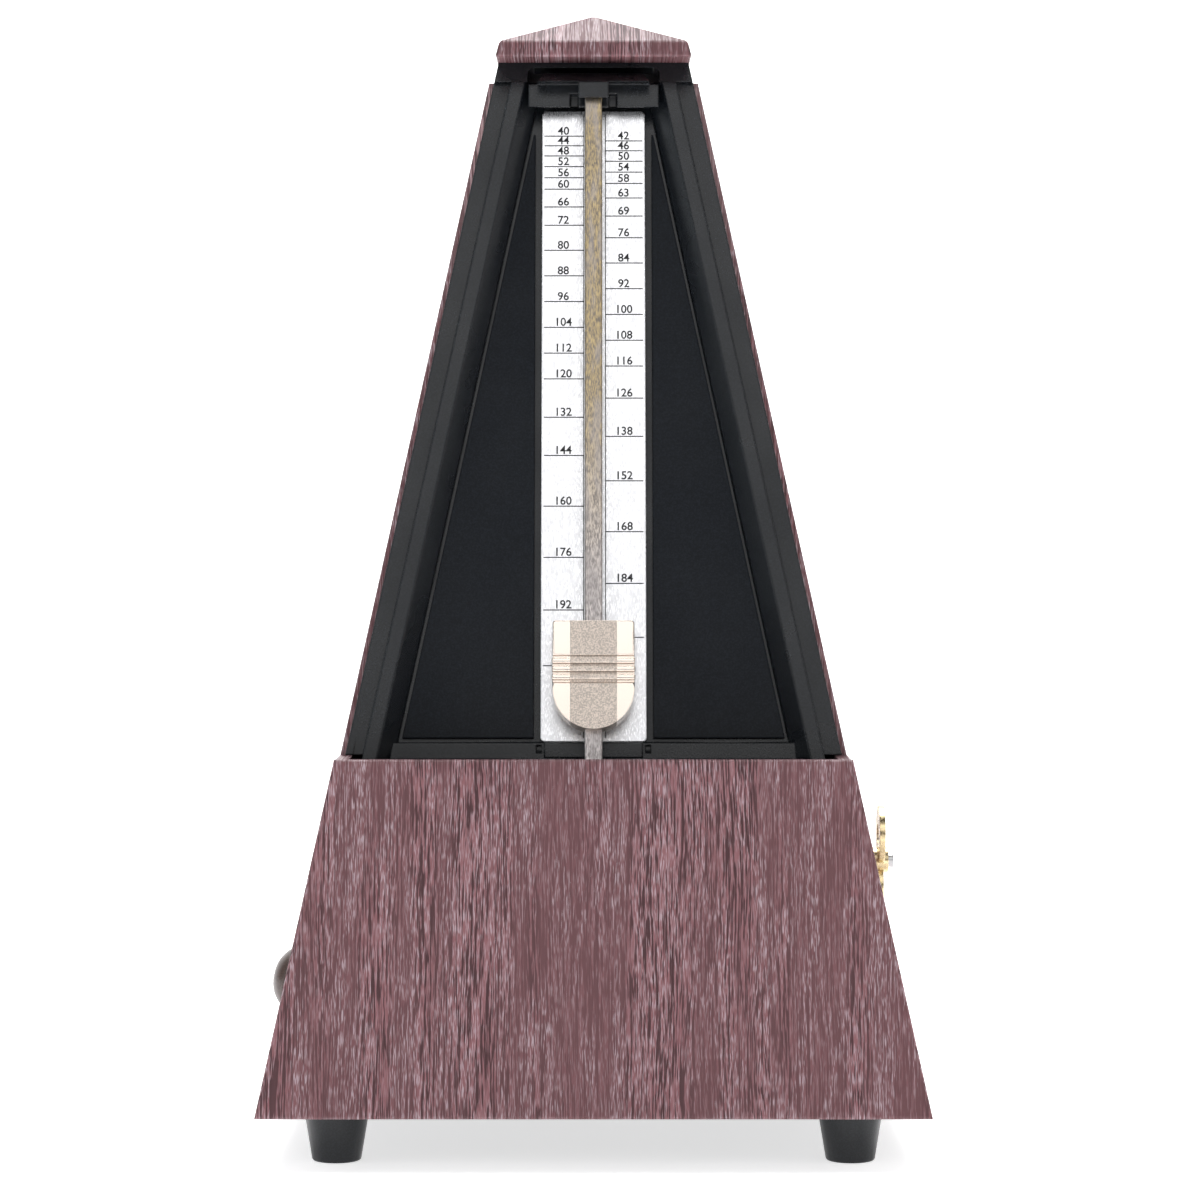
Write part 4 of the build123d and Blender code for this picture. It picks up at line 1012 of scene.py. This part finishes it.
class METRONOME_OT_scale(bpy.types.Operator):
    """Build the brushed scale plate and its printed lines and numbers"""

    bl_idname = "metronome.scale"
    bl_label = "Tempo Scale"

    def execute(self, context):
        sizes = context.scene.metronome_scale
        low, high = front_span("scale_plate")
        place = front_place()
        work = bmesh.new()
        corner, rim = 0.7 * MM, 0.12 * MM
        prism(work, rounded_rectangle(low, high, corner), low.z, high.z, rim)
        plate = mesh_from(work, "scale_sheet")
        plate.transform(place)
        finished("scale_sheet", plate, finish_for("scale_metal"), "scale_plate")

        ink = finish_for("ink")
        tree = mark_tree()
        face = high.z + sizes.ink_height / 2
        level = -SLOPE * high.z     # the scale is read level, from the rod back to the plate
        inner_left, inner_right = -1.75 * MM, 2.15 * MM
        outer = high.x - 0.45 * MM
        upright_margin = 0.6 * MM
        number_middle = 5.45 * MM
        number_lift = 0.30 * MM

        def ruled(points, length, width):
            return through_nodes(points, tree, {
                "Length": length, "Width": width, "Height": sizes.ink_height, "Material": ink,
            })

        lines, numbers = [], []
        for side, tempos, inner in (
            (-1, LEFT_TEMPOS, inner_left), (1, RIGHT_TEMPOS, inner_right),
        ):
            rows = [tempo_height(tempo) + level for tempo in tempos]
            ticks = loose_points([((inner + side * outer) / 2, row, face) for row in rows])
            lines.append(ruled(ticks, abs(side * outer - inner), sizes.line_width))
            upright = loose_points([(inner, (low.y + high.y) / 2, face)])
            tall = high.y - low.y - 2 * upright_margin
            lines.append(ruled(upright, sizes.line_width * 0.8, tall))
            for tempo, row in zip(tempos, rows):
                spot = Vector((side * number_middle, row + number_lift, face))
                numbers.append(number_mesh(str(tempo), sizes.digit_size, spot, sizes.ink_height))
        for name, meshes in (("scale_lines", lines), ("scale_numbers", numbers)):
            mesh = joined(meshes, name)
            mesh.transform(place)
            riding(name, mesh, ink, BODIES["scale_plate"])
        return {"FINISHED"}


# ------------------------------------------------------------------ the pendulum
class METRONOME_OT_rod(bpy.types.Operator):
    """Build the flat pendulum rod with drawn, softened edges"""

    bl_idname = "metronome.rod"
    bl_label = "Pendulum Rod"

    def execute(self, context):
        low, high = front_span("pendulum_rod")
        work = bmesh.new()
        corner, rim = 0.35 * MM, 0.22 * MM
        prism(work, rounded_rectangle(low, high, corner), low.z, high.z, rim)
        mesh = mesh_from(work, "rod_bar")
        mesh.transform(front_place())
        finished("rod_bar", mesh, finish_for("rod_steel"), "pendulum_rod")
        return {"FINISHED"}


class METRONOME_OT_weight(bpy.types.Operator):
    """Build the sliding weight with its raised bars"""

    bl_idname = "metronome.weight"
    bl_label = "Sliding Weight"

    def execute(self, context):
        low, high = front_span("sliding_weight")
        rib_height = groove_depth = 0.35 * MM
        side_inset = 0.14 * MM
        corner = 0.55 * MM
        rim = 0.25 * MM
        rib_width = 1.05 * MM
        rib_pitch = 1.45 * MM
        rib_drop = 8.6 * MM         # from the top to the middle of the ribs
        rib_root = 0.6 * MM         # from the back of the weight to the back of a rib
        rib_rounding = 0.30 * MM
        gap = 0.15 * MM
        count = context.scene.metronome_metal.rib_count
        front = high.z - rib_height
        groove = front - groove_depth
        half = high.x - side_inset
        first = high.y - rib_drop - (count - 1) / 2 * rib_pitch
        zone_low = first - rib_pitch / 2 - gap
        zone_high = first + (count - 0.5) * rib_pitch + gap
        top = arc((half - corner, high.y - corner), corner, 0, 90, 4)
        top += arc((corner - half, high.y - corner), corner, 90, 180, 4)
        bottom = arc((0, low.y + side_inset + half), half, 180, 360, 40)
        work = bmesh.new()
        prism(work, top + bottom, low.z, groove)
        prism(work, [(half, zone_high), *top, (-half, zone_high)], groove, front, rim)
        prism(work, [(half, zone_low), (-half, zone_low), *bottom], groove, front, rim)
        body = mesh_from(work, "weight_body")
        work = bmesh.new()
        corners = ((-1, -1), (1, -1), (1, 1), (-1, 1))
        rib = [(x * high.x, y * rib_width / 2) for x, y in corners]
        prism(work, rib, low.z + rib_root, high.z)
        round_edges(work, list(work.edges), rib_rounding)
        bmesh.ops.translate(work, verts=work.verts, vec=(0, first, 0))
        one = mesh_from(work, "rib")
        material = finish_for("weight_nickel")
        ribs = through_nodes(one, row_tree(), {
            "Count": count, "Step": (0.0, rib_pitch, 0.0), "Material": material,
        })
        mesh = joined([body, ribs], "weight_block")
        mesh.transform(front_place())
        finished("weight_block", mesh, material, "sliding_weight")
        return {"FINISHED"}


# ------------------------------------------------------------------ fittings outside the casing
class METRONOME_OT_fittings(bpy.types.Operator):
    """Build the winding key, the selector's knob and the feet"""

    bl_idname = "metronome.fittings"
    bl_label = "Key, Knob and Feet"

    def execute(self, context):
        for node, name, radius, shortest, kind in (
            ("winding_key", "key_wings", 0.28 * MM, 0.02 * MM, "brass"),
            ("selector_knob", "knob_disc", 0.20 * MM, 0.05 * MM, "knob_brown"),
            ("feet", "foot_cones", 0.45 * MM, 0.05 * MM, "black_plastic"),
        ):
            finished(name, rounded_copy(node, name, radius, shortest), finish_for(kind), node)
        return {"FINISHED"}


class METRONOME_OT_movement(bpy.types.Operator):
    """Give every CAD piece that still shows the finish of its slot"""

    bl_idname = "metronome.movement"
    bl_label = "Movement Finishes"

    def execute(self, context):
        for node, piece in frame["nodes"].items():
            piece.data.materials.clear()
            piece.data.materials.append(finish_for(SLOTS[node]))
        return {"FINISHED"}


# ------------------------------------------------------------------ the stage
def softbox(name, size, place, target, power, colour=(1.0, 1.0, 1.0)):
    """A large soft light that faces a point."""
    light = bpy.data.lights.new(name, "AREA")
    light.shape = "RECTANGLE"
    light.size, light.size_y = size
    light.energy = power
    light.color = colour
    lamp = bpy.data.objects.new(name, light)
    lamp.location = place
    lamp.rotation_euler = (Vector(target) - Vector(place)).to_track_quat("-Z", "Y").to_euler()
    bpy.context.scene.collection.objects.link(lamp)


def sweep_mesh(half_width, near, far, radius, height, steps=24):
    """A floor that curves up into a backdrop."""
    profile = [(near, 0.0)]
    profile += [(far + y, radius + z) for y, z in arc((0, 0), radius, -90, 0, steps)]
    profile.append((far + radius, height))
    points = [(side * half_width, y, z) for y, z in profile for side in (-1, 1)]
    faces = [(2 * i, 2 * i + 1, 2 * i + 3, 2 * i + 2) for i in range(len(profile) - 1)]
    mesh = bpy.data.meshes.new("studio_sweep")
    mesh.from_pydata(points, [], faces)
    mesh.shade_smooth()
    return mesh


class METRONOME_OT_stage(bpy.types.Operator):
    """Set the camera, the soft studio lights and the pale floor"""

    bl_idname = "metronome.stage"
    bl_label = "Stage"

    def execute(self, context):
        settings = context.scene.metronome_stage
        mesh = sweep_mesh(half_width=3.0, near=-3.0, far=0.9, radius=0.5, height=3.0)
        sweep = bpy.data.objects.new("studio_sweep", mesh)
        material, tree, surface = fresh_material("studio_white")
        patch = 0.35
        mottle = noise(tree, stretched(tree, object_place(tree), patch, patch))
        shade = mix_colour(tree, mottle, (0.86, 0.86, 0.865), (0.90, 0.90, 0.90))
        feed(tree, surface, {
            "Base Color": shade, "Roughness": 0.8,
            "Emission Color": shade, "Emission Strength": 0.75,
        })
        sweep.data.materials.append(material)
        context.scene.collection.objects.link(sweep)
        sweep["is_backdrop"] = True

        low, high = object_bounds()
        middle = (0.0, 0.0, (low.z + high.z) / 2)
        softbox("front_softbox", (1.3, 0.7), (0.0, -1.25, 0.80), middle, 4.7)
        softbox("left_softbox", (0.5, 1.1), (-1.15, -0.35, 0.55), middle, 3.0, (0.90, 0.98, 1.0))
        softbox("right_softbox", (0.5, 1.1), (1.15, -0.25, 0.55), middle, 2.8, (1.0, 0.98, 0.96))
        softbox("top_softbox", (1.2, 1.2), (0.0, 0.35, 1.5), (0.0, 0.05, 0.1), 22.0)
        softbox("backdrop_softbox", (2.4, 0.6), (0.0, 0.55, 2.0), (0.0, 1.4, 0.5), 16.0)

        world = bpy.data.worlds.new("studio_air")
        world.use_nodes = True
        air = world.node_tree.nodes["Background"]
        air.inputs["Color"].default_value = (0.93, 0.95, 1.0, 1.0)
        air.inputs["Strength"].default_value = 0.10
        context.scene.world = world
        context.scene.view_settings.view_transform = "Standard"

        camera = bpy.data.cameras.new("studio_camera")
        camera.sensor_width = 36.0
        camera.lens = settings.lens
        camera.shift_x = 0.0054
        camera.shift_y = -0.0889
        holder = bpy.data.objects.new("studio_camera", camera)
        foot = CAD_BOX[0].y
        holder.matrix_world = (
            Matrix.Translation((0.0, foot - settings.distance, settings.height))
            @ Matrix.Rotation(math.radians(90), 4, "X")
        )
        context.scene.collection.objects.link(holder)
        context.scene.camera = holder
        return {"FINISHED"}


# ------------------------------------------------------------------ the panel and the run
STEPS = (
    METRONOME_OT_movement,
    METRONOME_OT_front_board,
    METRONOME_OT_casing,
    METRONOME_OT_black_trim,
    METRONOME_OT_inset_panels,
    METRONOME_OT_scale,
    METRONOME_OT_rod,
    METRONOME_OT_weight,
    METRONOME_OT_fittings,
    METRONOME_OT_stage,
)
SETTINGS = (
    ("metronome_wood", MetronomeWoodSettings),
    ("metronome_plastic", MetronomePlasticSettings),
    ("metronome_scale", MetronomeScaleSettings),
    ("metronome_metal", MetronomeMetalSettings),
    ("metronome_stage", MetronomeStageSettings),
)


class METRONOME_PT_pieces(bpy.types.Panel):
    """Lists the metronome's pieces and their settings"""

    bl_idname = "METRONOME_PT_pieces"
    bl_label = "Metronome"
    bl_space_type = "VIEW_3D"
    bl_region_type = "UI"
    bl_category = "Metronome"

    def draw(self, context):
        for name, kind in SETTINGS:
            box = self.layout.box()
            for setting in kind.__annotations__:
                box.prop(getattr(context.scene, name), setting)
        for step in STEPS:
            self.layout.operator(step.bl_idname)


def register():
    for name, kind in SETTINGS:
        bpy.utils.register_class(kind)
        setattr(bpy.types.Scene, name, PointerProperty(type=kind))
    for kind in (*STEPS, METRONOME_PT_pieces):
        bpy.utils.register_class(kind)


def unregister():
    for kind in (METRONOME_PT_pieces, *reversed(STEPS)):
        bpy.utils.unregister_class(kind)
    for name, kind in reversed(SETTINGS):
        delattr(bpy.types.Scene, name)
        bpy.utils.unregister_class(kind)


def main():
    register()
    for step in STEPS:
        group, name = step.bl_idname.split(".")
        getattr(getattr(bpy.ops, group), name)()


if __name__ == "__main__":
    main()
